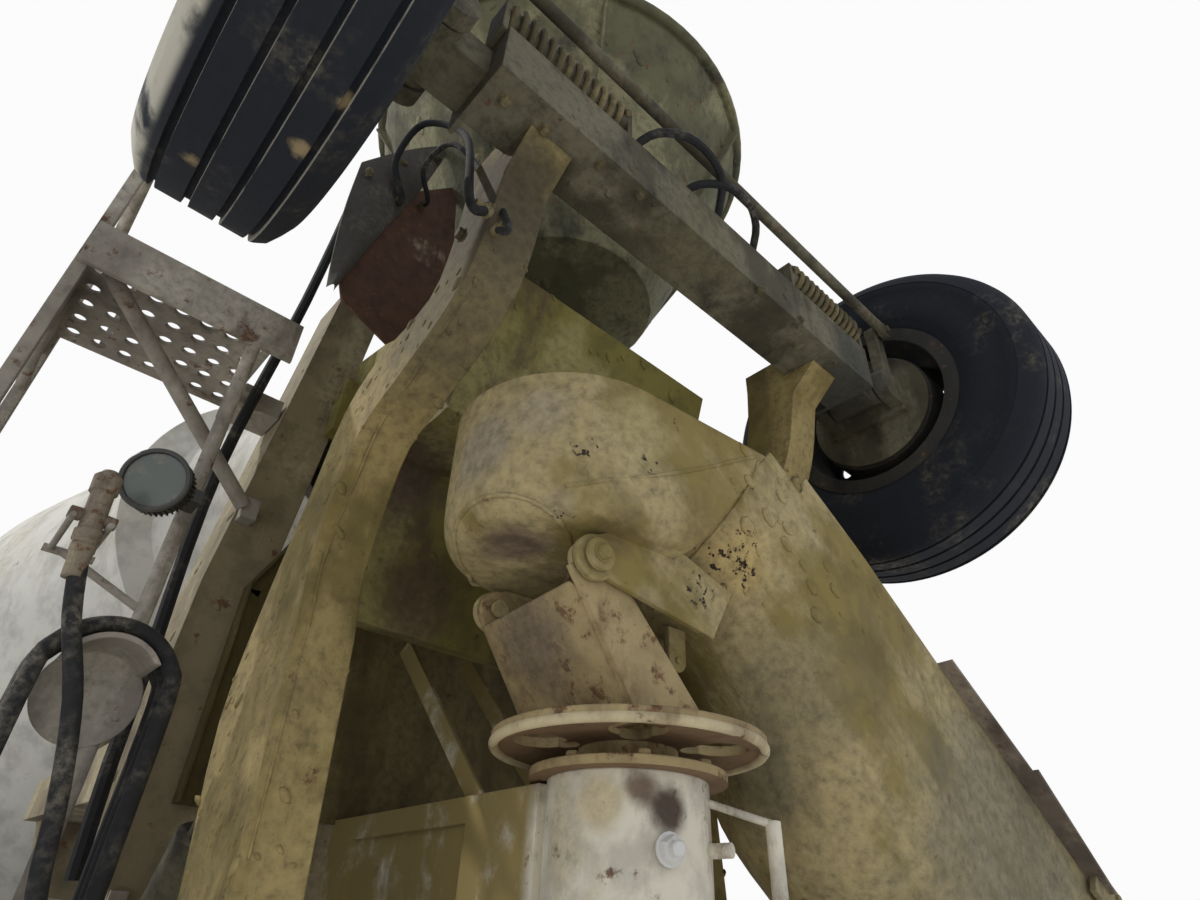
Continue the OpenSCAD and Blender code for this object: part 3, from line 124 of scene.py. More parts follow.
def srgb(r, g, b):
    """A colour as seen on a screen, 0 to 255, made linear."""
    f = lambda c: c / 12.92 if c <= 0.04045 else ((c + 0.055) / 1.055) ** 2.4
    return tuple(f(v / 255) for v in (r, g, b))


# World and lights
scene = bpy.context.scene
scene.view_settings.view_transform = "Standard"
world = bpy.data.worlds.new("world")
scene.world = world
world.use_nodes = True
wn = world.node_tree
wn.nodes.clear()
wout = wn.nodes.new("ShaderNodeOutputWorld")
lit = wn.nodes.new("ShaderNodeBackground")
seen = wn.nodes.new("ShaderNodeBackground")
mixw = wn.nodes.new("ShaderNodeMixShader")
path = wn.nodes.new("ShaderNodeLightPath")
lit.inputs["Color"].default_value = (0.86, 0.9, 1.0, 1)
lit.inputs["Strength"].default_value = 0.75
seen.inputs["Color"].default_value = (0.97, 0.97, 0.97, 1)
seen.inputs["Strength"].default_value = 1.0
wn.links.new(path.outputs["Is Camera Ray"], mixw.inputs[0])
wn.links.new(lit.outputs[0], mixw.inputs[1])
wn.links.new(seen.outputs[0], mixw.inputs[2])
wn.links.new(mixw.outputs[0], wout.inputs[0])


def sun(name, direction, strength, angle, color):
    d = bpy.data.lights.new(name, "SUN")
    d.energy = strength
    d.angle = math.radians(angle)
    d.color = color
    o = bpy.data.objects.new(name, d)
    o.rotation_euler = Vector(direction).to_track_quat("-Z", "Y").to_euler()
    scene.collection.objects.link(o)


sun("sun", (-0.45, 0.55, -0.75), 1.7, 1.5, (1, 0.96, 0.88))
sun("bounce", (-0.2, -0.6, 0.8), 0.55, 60, (1, 0.95, 0.86))

floor_mesh = bpy.data.meshes.new("floor")
FLOOR = 60
floor_mesh.from_pydata([(-FLOOR, -FLOOR, 0), (FLOOR, -FLOOR, 0), (FLOOR, FLOOR, 0), (-FLOOR, FLOOR, 0)],
                       [], [(0, 1, 2, 3)])
floor = bpy.data.objects.new("floor", floor_mesh)
scene.collection.objects.link(floor)
floor.location.z = -0.001


# Materials
class Nodes:
    """A short way to write a node tree."""

    def __init__(self, name, soft=0.0):
        self.soft = soft
        self.m = bpy.data.materials.new(name)
        self.m.use_nodes = True
        self.t = self.m.node_tree
        self.t.nodes.clear()
        self.out = self.node("OutputMaterial")
        self.b = self.node("BsdfPrincipled")
        self.t.links.new(self.b.outputs[0], self.out.inputs[0])
        tc = self.node("TexCoord")
        self.pos = tc.outputs["Object"]
        self.normal = self.node("NewGeometry").outputs["Normal"]

    def node(self, kind):
        return self.t.nodes.new("ShaderNode" + kind)

    def link(self, a, b):
        if hasattr(a, "is_output"):
            self.t.links.new(a, b)
        else:
            b.default_value = a

    def noise(self, scale, detail=4, rough=0.55, stretch=None, seed=0.0, along=None):
        n = self.node("TexNoise")
        n.inputs["Scale"].default_value = scale
        n.inputs["Detail"].default_value = detail
        n.inputs["Roughness"].default_value = rough
        mp = self.node("Mapping")
        mp.inputs["Location"].default_value = (seed * 3.1, seed * 1.7, seed * 2.3)
        if stretch:
            mp.inputs["Scale"].default_value = stretch
        if along:
            mp.vector_type = "TEXTURE"
            mp.inputs["Rotation"].default_value = along
            mp.inputs["Scale"].default_value = (7, 1, 1)
        self.link(self.pos, mp.inputs["Vector"])
        self.link(mp.outputs[0], n.inputs["Vector"])
        return n.outputs["Fac"]

    def step(self, fac, lo, hi):
        """0 below lo, 1 above hi, smooth between."""
        n = self.node("MapRange")
        n.interpolation_type = "SMOOTHSTEP"
        self.link(fac, n.inputs["Value"])
        n.inputs["From Min"].default_value = lo
        n.inputs["From Max"].default_value = hi
        return n.outputs["Result"]

    def ramp(self, fac, stops):
        n = self.node("ValToRGB")
        e = n.color_ramp.elements
        while len(e) < len(stops):
            e.new(0.5)
        for el, (p, c) in zip(e, stops):
            el.position = p
            el.color = (*c, 1)
        self.link(fac, n.inputs["Fac"])
        return n.outputs["Color"]

    def mix(self, fac, a, b, mode="MIX"):
        n = self.node("Mix")
        n.data_type = "RGBA"
        n.blend_type = mode
        self.link(fac, n.inputs["Factor"])
        self.link((*a, 1) if isinstance(a, tuple) and len(a) == 3 else a, n.inputs["A"])
        self.link((*b, 1) if isinstance(b, tuple) and len(b) == 3 else b, n.inputs["B"])
        return n.outputs["Result"]

    def math(self, op, a, b=0.0):
        n = self.node("Math")
        n.operation = op
        self.link(a, n.inputs[0])
        self.link(b, n.inputs[1])
        return n.outputs[0]

    def part(self, socket, axis):
        n = self.node("SeparateXYZ")
        self.link(socket, n.inputs[0])
        return n.outputs[axis]

    def near(self, point, lo, hi, ragged=0.5, scale=14.0):
        """1 close to a point of the truck, 0 beyond hi metres, with a ragged edge."""
        d = self.node("VectorMath")
        d.operation = "DISTANCE"
        self.link(self.pos, d.inputs[0])
        d.inputs[1].default_value = tuple(point)
        edge = self.math("MULTIPLY", self.noise(scale, 5, 0.65, seed=point[0] + point[2]), ragged * (hi + lo))
        far = self.math("ADD", d.outputs["Value"], edge)
        shift = 0.25 * ragged * (hi + lo)
        return self.math("SUBTRACT", 1.0, self.step(far, lo + shift, hi + shift))

    def facing(self, direction, lo, hi):
        """1 where the surface looks along a direction of the truck."""
        d = self.node("VectorMath")
        d.operation = "DOT_PRODUCT"
        self.link(self.normal, d.inputs[0])
        d.inputs[1].default_value = tuple(Vector(direction).normalized())
        return self.step(d.outputs["Value"], lo, hi)

    def bump(self, height, distance, strength=1.0):
        n = self.node("Bump")
        if self.soft:
            e = self.node("Bevel")
            e.samples = 4
            e.inputs["Radius"].default_value = self.soft
            self.link(e.outputs[0], n.inputs["Normal"])
        n.inputs["Distance"].default_value = distance
        n.inputs["Strength"].default_value = strength
        self.link(height, n.inputs["Height"])
        self.link(n.outputs[0], self.b.inputs["Normal"])

    def finish(self, color, rough, metal=0.0):
        self.link(color, self.b.inputs["Base Color"])
        self.link(rough, self.b.inputs["Roughness"])
        self.link(metal, self.b.inputs["Metallic"])
        return self.m


def caked(name, paint, crust, dark, amount=0.5, rust=0.0, scale=1.0, depth=0.004, patches=(), pits=(),
          dents=(), along=None, stain=0.75, under=None, ahead=None):
    """Paint under dried concrete slurry: blotches, runs, pits and rust.

    A patch is a point, a size, a colour and its cover. A dent is a point, two radii and a depth.
    Streaks run along a direction, under is a painted shade for what looks down, and ahead tints what lies
    ahead of a place.
    """
    n = Nodes(name, 0.005)
    big = n.noise(2.2 * scale, 6, 0.6, seed=1)
    runs = n.noise(7 * scale, 5, 0.6, stretch=(1, 1, 0.22), seed=2, along=along)
    fine = n.noise(46 * scale, 6, 0.65, seed=3)
    grit = n.noise(190 * scale, 3, 0.7, seed=4)
    cover = n.math("ADD", n.math("MULTIPLY", big, 0.62), n.math("MULTIPLY", runs, 0.38))
    mask = n.step(cover, 0.62 - 0.26 * amount, 0.72 - 0.26 * amount)
    shade = n.ramp(fine, [(0.28, tuple(0.55 * c for c in crust)), (0.5, crust),
                          (0.72, tuple(min(1, 1.25 * c) for c in crust))])
    wear_and_sunlight = n.step(n.noise(11 * scale, 5, 0.6, seed=5), 0.42, 0.66)
    base = n.mix(wear_and_sunlight, paint, tuple(0.72 * c for c in paint))
    col = n.mix(mask, base, shade)
    stains = n.step(n.noise(5 * scale, 7, 0.7, stretch=(1, 1, 0.5), seed=6), 0.5, 0.68)
    col = n.mix(n.math("MULTIPLY", stains, stain), col, dark)
    if rust:
        freckles = n.step(n.noise(17 * scale, 6, 0.7, seed=8), 0.66 - 0.22 * rust, 0.74 - 0.18 * rust)
        hue = n.ramp(n.noise(60 * scale, 4, 0.6, seed=9),
                     [(0.3, srgb(64, 42, 28)), (0.6, srgb(112, 74, 44)), (0.8, srgb(146, 108, 68))])
        col = n.mix(n.math("MULTIPLY", freckles, 0.9), col, hue)
    lumps = n.math("ADD", n.math("MULTIPLY", mask, 0.7), n.math("MULTIPLY", fine, 0.55))
    lumps = n.math("ADD", lumps, n.math("MULTIPLY", grit, 0.16))
    for point, size, tint, cover in patches:
        far = n.math("MULTIPLY", n.near(point, 0.45 * size, size), cover)
        mottle = n.mix(n.step(fine, 0.3, 0.7), tuple(0.72 * c for c in tint),
                       tuple(min(1, 1.18 * c) for c in tint))
        col = n.mix(far, col, mottle)
    if along:
        streak = n.step(n.noise(16, 5, 0.6, seed=12, along=along), 0.56, 0.7)
        col = n.mix(n.math("MULTIPLY", streak, 0.45), col, tuple(0.5 * c for c in crust))
    if ahead:
        y, tint = ahead
        front = n.math("SUBTRACT", 1.0, n.step(n.part(n.pos, 1), y - 0.02, y + 0.02))
        col = n.mix(n.math("MULTIPLY", front, n.step(n.noise(9, 6, 0.65, seed=15), 0.22, 0.5)), col, tint)
    # Painted shade: faces that look down take the under colour.
    if under:
        col = n.mix(n.math("MULTIPLY", n.facing((0, 0, -1), 0.6, 0.9), 0.85), col, under)
    for point, lo, hi, deep in dents:
        lumps = n.math("SUBTRACT", lumps, n.math("MULTIPLY", n.near(point, lo, hi, 0), deep))
    for point, size in pits:
        holes = n.step(n.noise(70, 3, 0.6, seed=14), 0.58, 0.63)
        holes = n.math("MULTIPLY", holes, n.near(point, 0.7 * size, size))
        col = n.mix(holes, col, srgb(52, 34, 24))
        lumps = n.math("SUBTRACT", lumps, n.math("MULTIPLY", holes, 0.8))
    n.bump(lumps, depth)
    return n.finish(col, 0.85)


def rubber(name, base, dust, amount, patches=(), sunlit_flank=None):
    """Dusty rubber; a sunlit_flank is a point, a size and the colour of the painted sunlight on its outer
    side.
    """
    n = Nodes(name)
    fine = n.noise(60, 5, 0.65)
    cloud = n.noise(6, 5, 0.6, seed=3)
    mask = n.step(cloud, 0.62 - 0.3 * amount, 0.85 - 0.3 * amount)
    col = n.mix(n.math("MULTIPLY", mask, 0.8), base, dust)
    col = n.mix(n.step(fine, 0.35, 0.75), tuple(0.75 * c for c in base), col)
    for point, size, tint, cover in patches:
        col = n.mix(n.math("MULTIPLY", n.near(point, 0.5 * size, size, 0.9, 22), cover), col, tint)
    # Painted sunlight: the outer flank, which looks along +x, turns cream in patches.
    if sunlit_flank:
        point, size, tint = sunlit_flank
        side = n.math("MULTIPLY", n.facing((1, 0, 0.1), 0.3, 0.62), n.near(point, size, 1.1 * size, 0))
        wear_and_sunlight = n.math("MULTIPLY", side, n.step(n.noise(9, 5, 0.6, seed=5), 0.3, 0.5))
        col = n.mix(wear_and_sunlight, col, tint)
    n.bump(fine, 0.0012)
    return n.finish(col, 0.9)


def paint(name, base, dust, amount, rough, metal=0.0):
    """Paint with a film of dust in clouds and faint runs."""
    n = Nodes(name)
    cloud = n.noise(3.5, 6, 0.62, seed=2)
    low = n.noise(24, 5, 0.6, stretch=(1, 1, 0.3), seed=5)
    mask = n.math("MULTIPLY", n.step(cloud, 0.45, 0.8), n.step(low, 0.3, 0.75))
    mask = n.math("MULTIPLY", mask, min(1.0, 3 * amount))
    col = n.mix(mask, base, dust)
    r = n.math("ADD", n.math("MULTIPLY", mask, 0.5), rough)
    n.bump(n.noise(90, 3, 0.6, seed=7), 0.0004)
    return n.finish(col, r, metal)


HEADING, SLOPE = math.radians(5), math.radians(38)
POST_BACK = 0.22
RIM_U, RIM_Z = 0.326, 2.34
chute_frame = Matrix.Translation(at(0, -POST_BACK, 0)) @ Matrix.Rotation(math.pi - HEADING, 4, "Z")
slope_frame = chute_frame @ Matrix.Translation((RIM_U, 0, RIM_Z)) @ Matrix.Rotation(SLOPE, 4, "Y")
FLOW = slope_frame.to_euler()
DARK = srgb(44, 38, 28)
# Painted shade: the brown patch in the bucket's oval recess (515, 545) and the dark patch on the trough's
# underside (760, 780). Painted sunlight: the light tan patch by the ear (735, 560).
CHUTE_PATCHES_AND_PAINTED_LIGHT = [
    (480, 450, 0.14, (148, 136, 116), 0.75), (540, 410, 0.1, (160, 148, 124), 0.6),
    (515, 545, 0.12, (112, 92, 78), 0.85), (560, 500, 0.05, (150, 138, 112), 0.5),
    (640, 430, 0.14, (178, 164, 116), 0.6), (620, 530, 0.08, (116, 98, 60), 0.7),
    (700, 520, 0.1, (132, 114, 68), 0.7), (735, 560, 0.13, (184, 160, 104), 0.85),
    (650, 600, 0.06, (160, 146, 104), 0.7), (800, 690, 0.22, (130, 118, 88), 0.6),
    (760, 780, 0.18, (96, 90, 70), 0.7), (1020, 870, 0.6, (118, 113, 94), 0.7)]
CHUTE_PITS = [(585, 448, 0.045), (650, 464, 0.03), (675, 425, 0.025), (735, 560, 0.1), (700, 590, 0.06),
              (560, 520, 0.05)]
M = {
    # Arms: the two dark patches on the upper arms are painted shade.
    "arms": caked("caked_arms_painted_shade", srgb(126, 110, 60), srgb(156, 138, 88), DARK, 0.75, 0.2, stain=0.3,
                  patches=tint_patches("booster_arms", [(470, 260, 0.55, (92, 82, 58), 0.8),
                                                 (505, 190, 0.3, (78, 70, 52), 0.8)])),
    "beam": caked("caked_beam", srgb(76, 70, 50), srgb(112, 106, 84), srgb(34, 30, 26), 0.6, 0.2,
                  patches=tint_patches("booster_axle", [(860, 385, 0.3, (74, 74, 66), 0.8),
                                                 (700, 250, 0.25, (104, 98, 70), 0.6)])),
    "hopper": caked("caked_hopper", srgb(98, 96, 68), srgb(130, 126, 92), srgb(46, 42, 36), 0.6, 0.3),
    # Collector: the two dark brown patches on its far side are painted shade.
    "collector": caked("caked_collector_painted_shade", srgb(134, 124, 60), srgb(156, 146, 92), srgb(84, 66, 52), 0.6, 0.2,
                       patches=tint_patches("collector", [(400, 470, 0.26, (96, 78, 66), 0.85),
                                                   (420, 600, 0.2, (100, 82, 62), 0.8)])),
    # The chute's patches include painted shade and painted sunlight.
    "chute": caked("caked_chute_painted_shade_and_sunlight", srgb(136, 120, 64), srgb(166, 150, 106), srgb(96, 82, 56), 0.7, 0.15,
                   along=FLOW, patches=tint_patches("main_chute", CHUTE_PATCHES_AND_PAINTED_LIGHT),
                   pits=pitted("main_chute", CHUTE_PITS),
                   dents=[(hit("main_chute", 512, 552)[0], 0.035, 0.078, 3.0)], stain=0.45),
    "fold": caked("caked_fold", srgb(116, 108, 66), srgb(150, 138, 100), srgb(60, 52, 36), 0.6, 0.3),
    # Disc: the under colour, on faces that look down, is painted shade.
    "disc": caked("caked_disc_painted_shade", srgb(172, 152, 108), srgb(152, 132, 92), srgb(92, 66, 42), 0.5, 0.55,
                  patches=tint_patches("chute_swivel", [(530, 640, 0.17, (118, 104, 84), 0.85)]),
                  under=srgb(112, 84, 56)),
    "edge": caked("disc_edge", srgb(206, 190, 150), srgb(184, 166, 126), srgb(112, 84, 54), 0.4, 0.3,
                  depth=0.001),
    "post": caked("painted_post", srgb(222, 214, 192), srgb(196, 184, 152), srgb(96, 72, 46), 0.35, 0.3,
                  depth=0.002, ahead=(AX_Y - 0.34, srgb(146, 129, 78)),
                  patches=tint_patches("chute_post", [(600, 800, 0.07, (186, 168, 122), 0.7),
                                               (668, 810, 0.06, (66, 48, 34), 0.95),
                                               (640, 788, 0.05, (92, 66, 44), 0.85)])),
    "stand": caked("caked_stand", srgb(140, 128, 98), srgb(160, 148, 116), srgb(92, 78, 58), 0.6, 0.3),
    "panel": caked("caked_panel", srgb(88, 76, 38), srgb(110, 98, 58), srgb(58, 46, 30), 0.6, 0.2),
    "plate": caked("rusty_plate", srgb(88, 60, 42), srgb(164, 148, 118), srgb(62, 44, 32), 0.3, 0.5, scale=2,
                   depth=0.002),
    "flap": rubber("grey_flap", srgb(84, 80, 72), srgb(116, 110, 98), 0.5),
    "strip": caked("worn_strip", srgb(110, 98, 84), srgb(140, 128, 110), srgb(72, 58, 48), 0.5, 0.4,
                   depth=0.002),
    "platform": caked("caked_platform", srgb(152, 144, 130), srgb(174, 166, 150), srgb(92, 82, 70),
                      0.5, 0.35),
    "drum": caked("dusty_drum", srgb(212, 209, 197), srgb(200, 194, 176), srgb(172, 163, 140), 0.3, 0.03,
                  scale=0.7, depth=0.0015, stain=0.45),
    "roller": caked("worn_roller", srgb(112, 92, 76), srgb(134, 112, 92), srgb(58, 40, 30), 0.4, 0.8),
    "hose": rubber("dusty_hose", srgb(36, 36, 36), srgb(138, 130, 112), 0.5),
    "tyre": rubber("tyre_rubber", srgb(32, 30, 28), srgb(112, 102, 86), 0.3),
    # The booster tyres' cream outer flank is painted sunlight.
    "booster_tyre": rubber("dusty_tyre_painted_sunlight", srgb(24, 28, 36), srgb(116, 108, 88), 0.4,
                           patches=tint_patches("tyre_booster_left", [(300, 150, 0.03, (150, 132, 96), 0.9),
                                                               (345, 100, 0.03, (150, 132, 96), 0.9),
                                                               (190, 160, 0.03, (150, 132, 96), 0.8)]),
                           sunlit_flank=((rim_lo + rim_hi) / 2, 0.75, srgb(184, 179, 162))),
    "rim": caked("dusty_rim", srgb(186, 182, 172), srgb(150, 140, 118), srgb(84, 72, 56), 0.4, 0.2,
                 depth=0.001),
    "booster_rim": caked("caked_rim", srgb(48, 46, 40), srgb(66, 62, 50), srgb(20, 18, 16), 0.5, 0.3,
                         depth=0.003),
    "black": paint("black_paint", srgb(38, 37, 35), srgb(110, 102, 86), 0.25, 0.5),
    "frame": paint("frame_paint", srgb(46, 42, 38), srgb(120, 108, 88), 0.3, 0.6),
    "white": paint("white_paint", srgb(214, 212, 205), srgb(176, 167, 147), 0.25, 0.3),
    "metal": paint("bright_metal", srgb(200, 200, 198), srgb(160, 150, 130), 0.12, 0.28, 1.0),
    "engine": paint("engine_paint", srgb(86, 90, 92), srgb(70, 62, 52), 0.25, 0.55),
    "trim": paint("cab_trim", srgb(56, 55, 57), srgb(120, 112, 98), 0.08, 0.7),
    "nozzle": caked("worn_nozzle", srgb(130, 118, 100), srgb(150, 138, 112), srgb(60, 46, 34), 0.5, 0.6,
                    scale=3, depth=0.001),
    "lamp": paint("lamp_body", srgb(60, 58, 54), srgb(140, 128, 104), 0.2, 0.4),
    "spring": caked("caked_spring", srgb(96, 88, 60), srgb(128, 116, 82), srgb(36, 30, 22), 0.6, 0.4,
                    scale=2, depth=0.001),
}


def glass_material():
    n = Nodes("window_glass")
    n.b.inputs["Transmission Weight"].default_value = 0.85
    n.b.inputs["Roughness"].default_value = 0.04
    n.b.inputs["IOR"].default_value = 1.45
    col = n.mix(n.step(n.noise(9, 5, 0.6), 0.5, 0.8), (0.74, 0.8, 0.82), (0.62, 0.6, 0.54))
    n.link(col, n.b.inputs["Base Color"])
    return n.m


M["glass"] = glass_material()


def lens(name, tint, clear):
    """Dusty lamp glass."""
    n = Nodes(name)
    n.b.inputs["Transmission Weight"].default_value = clear
    n.b.inputs["IOR"].default_value = 1.49
    dust = n.step(n.noise(30, 5, 0.6), 0.5, 0.75)
    n.link(n.mix(n.math("MULTIPLY", dust, 0.5), tint, srgb(150, 140, 120)), n.b.inputs["Base Color"])
    n.link(n.math("ADD", n.math("MULTIPLY", dust, 0.3), 0.08), n.b.inputs["Roughness"])
    n.bump(n.noise(220, 2, 0.5), 0.0005)
    return n.m


M["red_lens"] = lens("red_lens", srgb(150, 14, 10), 0.25)
M["clear_lens"] = lens("clear_lens", srgb(200, 200, 196), 0.4)
M["lens"] = lens("work_lens", srgb(112, 118, 110), 0.25)
floor_mat = Nodes("floor_material")
floor_mat.finish((0.8, 0.79, 0.77, 1), 0.9)
floor_mesh.materials.append(floor_mat.m)

LOOKS = {
    "arms": ["booster_arms"],
    "beam": ["booster_axle", "knuckle_booster_left", "knuckle_booster_right", "booster_tie_rod",
             "booster_cylinders"],
    "hopper": ["charge_hopper"],
    "collector": ["collector"],
    "chute": ["main_chute", "lift_barrel"],
    "fold": ["fold_chute"],
    "disc": ["chute_swivel"],
    "post": ["chute_post"],
    "stand": ["drum_pedestals"],
    "platform": ["platform"],
    "drum": ["drum"],
    "roller": ["roller_left", "roller_right"],
    "hose": ["fixed_hoses", "wash_hose"],
    "nozzle": ["wash_nozzle"],
    "lamp": ["lamps"],
    "black": ["rear_fenders", "mirrors"],
    "frame": ["chassis_frame", "front_axle", "drive_axles", "knuckle_front_left", "knuckle_front_right",
              "front_tie_rod"],
    "white": ["cab_shell", "door_left", "door_right", "hood"],
    "metal": ["front_bumper", "tanks", "exhaust_stack", "grille", "lift_rod"],
    "engine": ["engine_block"],
    "trim": ["cab_interior"],
    "glass": ["cab_glass", "door_glass_left", "door_glass_right"],
}
look_of = {n: k for k, v in LOOKS.items() for n in v}
for n in NODES:
    if n.startswith("tyre"):
        look_of[n] = "booster_tyre" if "booster" in n else "tyre"
    if n.startswith("rim"):
        look_of[n] = "booster_rim" if "booster" in n else "rim"
for n, o in NODES.items():
    o.data.materials.clear()
    o.data.materials.append(M[look_of[n]])


# Mesh helpers
def smooth_path(pts, n):
    """Points along a smooth curve through pts, n to each stretch."""
    pts = [Vector(p) for p in pts]
    out = []
    for i in range(len(pts) - 1):
        a, b = pts[max(i - 1, 0)], pts[i]
        c, d = pts[i + 1], pts[min(i + 2, len(pts) - 1)]
        for k in range(n):
            t = k / n
            out.append(0.5 * ((2 * b) + (c - a) * t + (2 * a - 5 * b + 4 * c - d) * t * t
                              + (3 * b - a - 3 * c + d) * t ** 3))
    return out + [pts[-1]]


def arc_points(cx, cz, r, a0, a1, n):
    """Points of an arc in a plane, with its angles in degrees."""
    return [(cx + r * math.cos(math.radians(a0 + (a1 - a0) * i / n)),
             cz + r * math.sin(math.radians(a0 + (a1 - a0) * i / n))) for i in range(n + 1)]


def circle(r, n):
    """Points of a closed circle about the origin, its first point given again at the end."""
    return [(r * math.cos(a), r * math.sin(a)) for a in (2 * math.pi * k / n for k in range(n + 1))]


def rings(bm, loops, cap=True):
    """Skin a list of equal loops of points."""
    vs = [[bm.verts.new(p) for p in loop] for loop in loops]
    n = len(vs[0])
    for a, b in zip(vs, vs[1:]):
        for k in range(n):
            bm.faces.new((a[k], a[(k + 1) % n], b[(k + 1) % n], b[k]))
    if cap:
        bm.faces.new(list(reversed(vs[0])))
        bm.faces.new(vs[-1])


def tube(bm, pts, r, sides=12, cap=True):
    """A round tube along pts; r is a number or one for each point."""
    pts = [Vector(p) for p in pts]
    heads = []
    for i in range(len(pts)):
        h = pts[min(i + 1, len(pts) - 1)] - pts[max(i - 1, 0)]
        heads.append(h.normalized())
    side = heads[0].orthogonal().normalized()
    loops = []
    for i, (p, h) in enumerate(zip(pts, heads)):
        side = (side - h * side.dot(h)).normalized()
        other = h.cross(side)
        rr = r[i] if isinstance(r, (list, tuple)) else r
        loops.append([p + rr * (math.cos(a) * side + math.sin(a) * other)
                      for a in (2 * math.pi * k / sides for k in range(sides))])
    rings(bm, loops, cap)


def bead(bm, pts, r, n, seed):
    """An uneven weld bead along pts, with n steps to each stretch."""
    rnd = random.Random(seed)
    line = smooth_path(pts, n)
    tube(bm, line, [r * (0.75 + 0.5 * rnd.random()) for _ in line], 6)


def turned(bm, centre, axis, profile, sides=32):
    """Spin (along, radius) pairs about an axis through centre."""
    axis = Vector(axis).normalized()
    side = axis.orthogonal().normalized()
    other = axis.cross(side)
    loops = [[Vector(centre) + axis * u + max(r, 1e-4) * (math.cos(a) * side + math.sin(a) * other)
              for a in (2 * math.pi * k / sides for k in range(sides))] for u, r in profile]
    rings(bm, loops)


def block(bm, lo, hi, frame_of=None):
    lo, hi = Vector(lo), Vector(hi)
    pts = [Vector((x, y, z)) for z in (lo.z, hi.z) for x, y in
           ((lo.x, lo.y), (hi.x, lo.y), (hi.x, hi.y), (lo.x, hi.y))]
    if frame_of:
        pts = [frame_of @ p for p in pts]
    rings(bm, [pts[:4], pts[4:]])


def hex_bolt(bm, at_point, out, r):
    """A bolt head and its washer on a face that looks along out."""
    at_point, out = Vector(at_point), Vector(out).normalized()
    turned(bm, at_point - out * 0.001, out, [(0, r * 1.25), (0.003, r * 1.25)], 16)
    side = out.orthogonal().normalized()
    other = out.cross(side)
    turn = random.random()
    rings(bm, [[at_point + out * u + r * k * (math.cos(a) * side + math.sin(a) * other)
                for a in (2 * math.pi * (j + turn) / 6 for j in range(6))]
               for u, k in ((0.002, 1.0), (0.002 + 0.55 * r, 1.0), (0.002 + 0.75 * r, 0.86))])


def loose(bm, name):
    """An object from bm that rides on nothing yet."""
    me = bpy.data.meshes.new(name)
    bm.to_mesh(me)
    bm.free()
    o = bpy.data.objects.new(name, me)
    scene.collection.objects.link(o)
    return o


def outward(bm):
    bmesh.ops.recalc_face_normals(bm, faces=bm.faces)


def edges(bm, angle):
    """Smooth faces, with the edges between them kept sharp above an angle."""
    for f in bm.faces:
        f.smooth = True
    for e in bm.edges:
        e.smooth = len(e.link_faces) == 2 and e.calc_face_angle(0) <= math.radians(angle)


def piece(name, bm, mat, body="chassis", angle=40, bevel=0.0, fix=True):
    """An object from bm with its sharp edges kept, riding on a body."""
    if fix:
        outward(bm)
    edges(bm, angle)
    o = loose(bm, name)
    o.data.materials.append(mat)
    if bevel:
        b = o.modifiers.new("bevel", "BEVEL")
        b.width = bevel
        b.segments = 2
        b.limit_method = "ANGLE"
        b.angle_limit = math.radians(35)
    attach(o, body)
    return o


# Wash-down hose: the route that its solid has in the CAD, in metres
LOOP_R, LOOP_X, RACK_Z, FOOT_Z = 0.11, 0.8, 1.76, 1.04
LOOP_Y = [-0.825, -0.785, -0.745, -0.71]
hose_route = [(LOOP_X - LOOP_R, LOOP_Y[0], 1.25), (LOOP_X - LOOP_R, LOOP_Y[0], 1.5)]
for k in range(3):
    hose_route += [(x, LOOP_Y[k], z) for x, z in arc_points(LOOP_X, RACK_Z, LOOP_R, 180, 0, 6)]
    hose_route += [(LOOP_X + LOOP_R, LOOP_Y[k], z) for z in (1.52, 1.28)]
    for i, (x, z) in enumerate(arc_points(LOOP_X, FOOT_Z, LOOP_R, 0, -180, 6)):
        hose_route.append((x, LOOP_Y[k] + (LOOP_Y[k + 1] - LOOP_Y[k]) * i / 6, z))
    if k < 2:
        hose_route += [(LOOP_X - LOOP_R, LOOP_Y[k + 1], z) for z in (1.28, 1.52)]
hose_route += [(0.705, -0.706, 1.2), (0.745, -0.702, 1.33), (0.78, -0.7, 1.45), (0.803, -0.7, 1.58),
               (0.84, -0.7, 1.72), (0.893, -0.7, 1.85), (0.922, -0.7, 1.96), (0.9255, -0.7, 2.0)]
hose_line = smooth_path([at(*p) for p in hose_route], 4)
hose_curve = bpy.data.curves.new("wash_hose_line", "CURVE")
hose_curve.dimensions = "3D"
hose_curve.bevel_depth = 0.015
hose_curve.bevel_resolution = 4
hose_curve.use_fill_caps = True
hose_spline = hose_curve.splines.new("POLY")
hose_spline.points.add(len(hose_line) - 1)
for p, q in zip(hose_spline.points, hose_line):
    p.co = (*q, 1)
hose_curve.materials.append(M["hose"])
hose = bpy.data.objects.new("wash_hose_line", hose_curve)
scene.collection.objects.link(hose)
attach(hose, "chassis")
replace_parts(hose, "wash_hose")

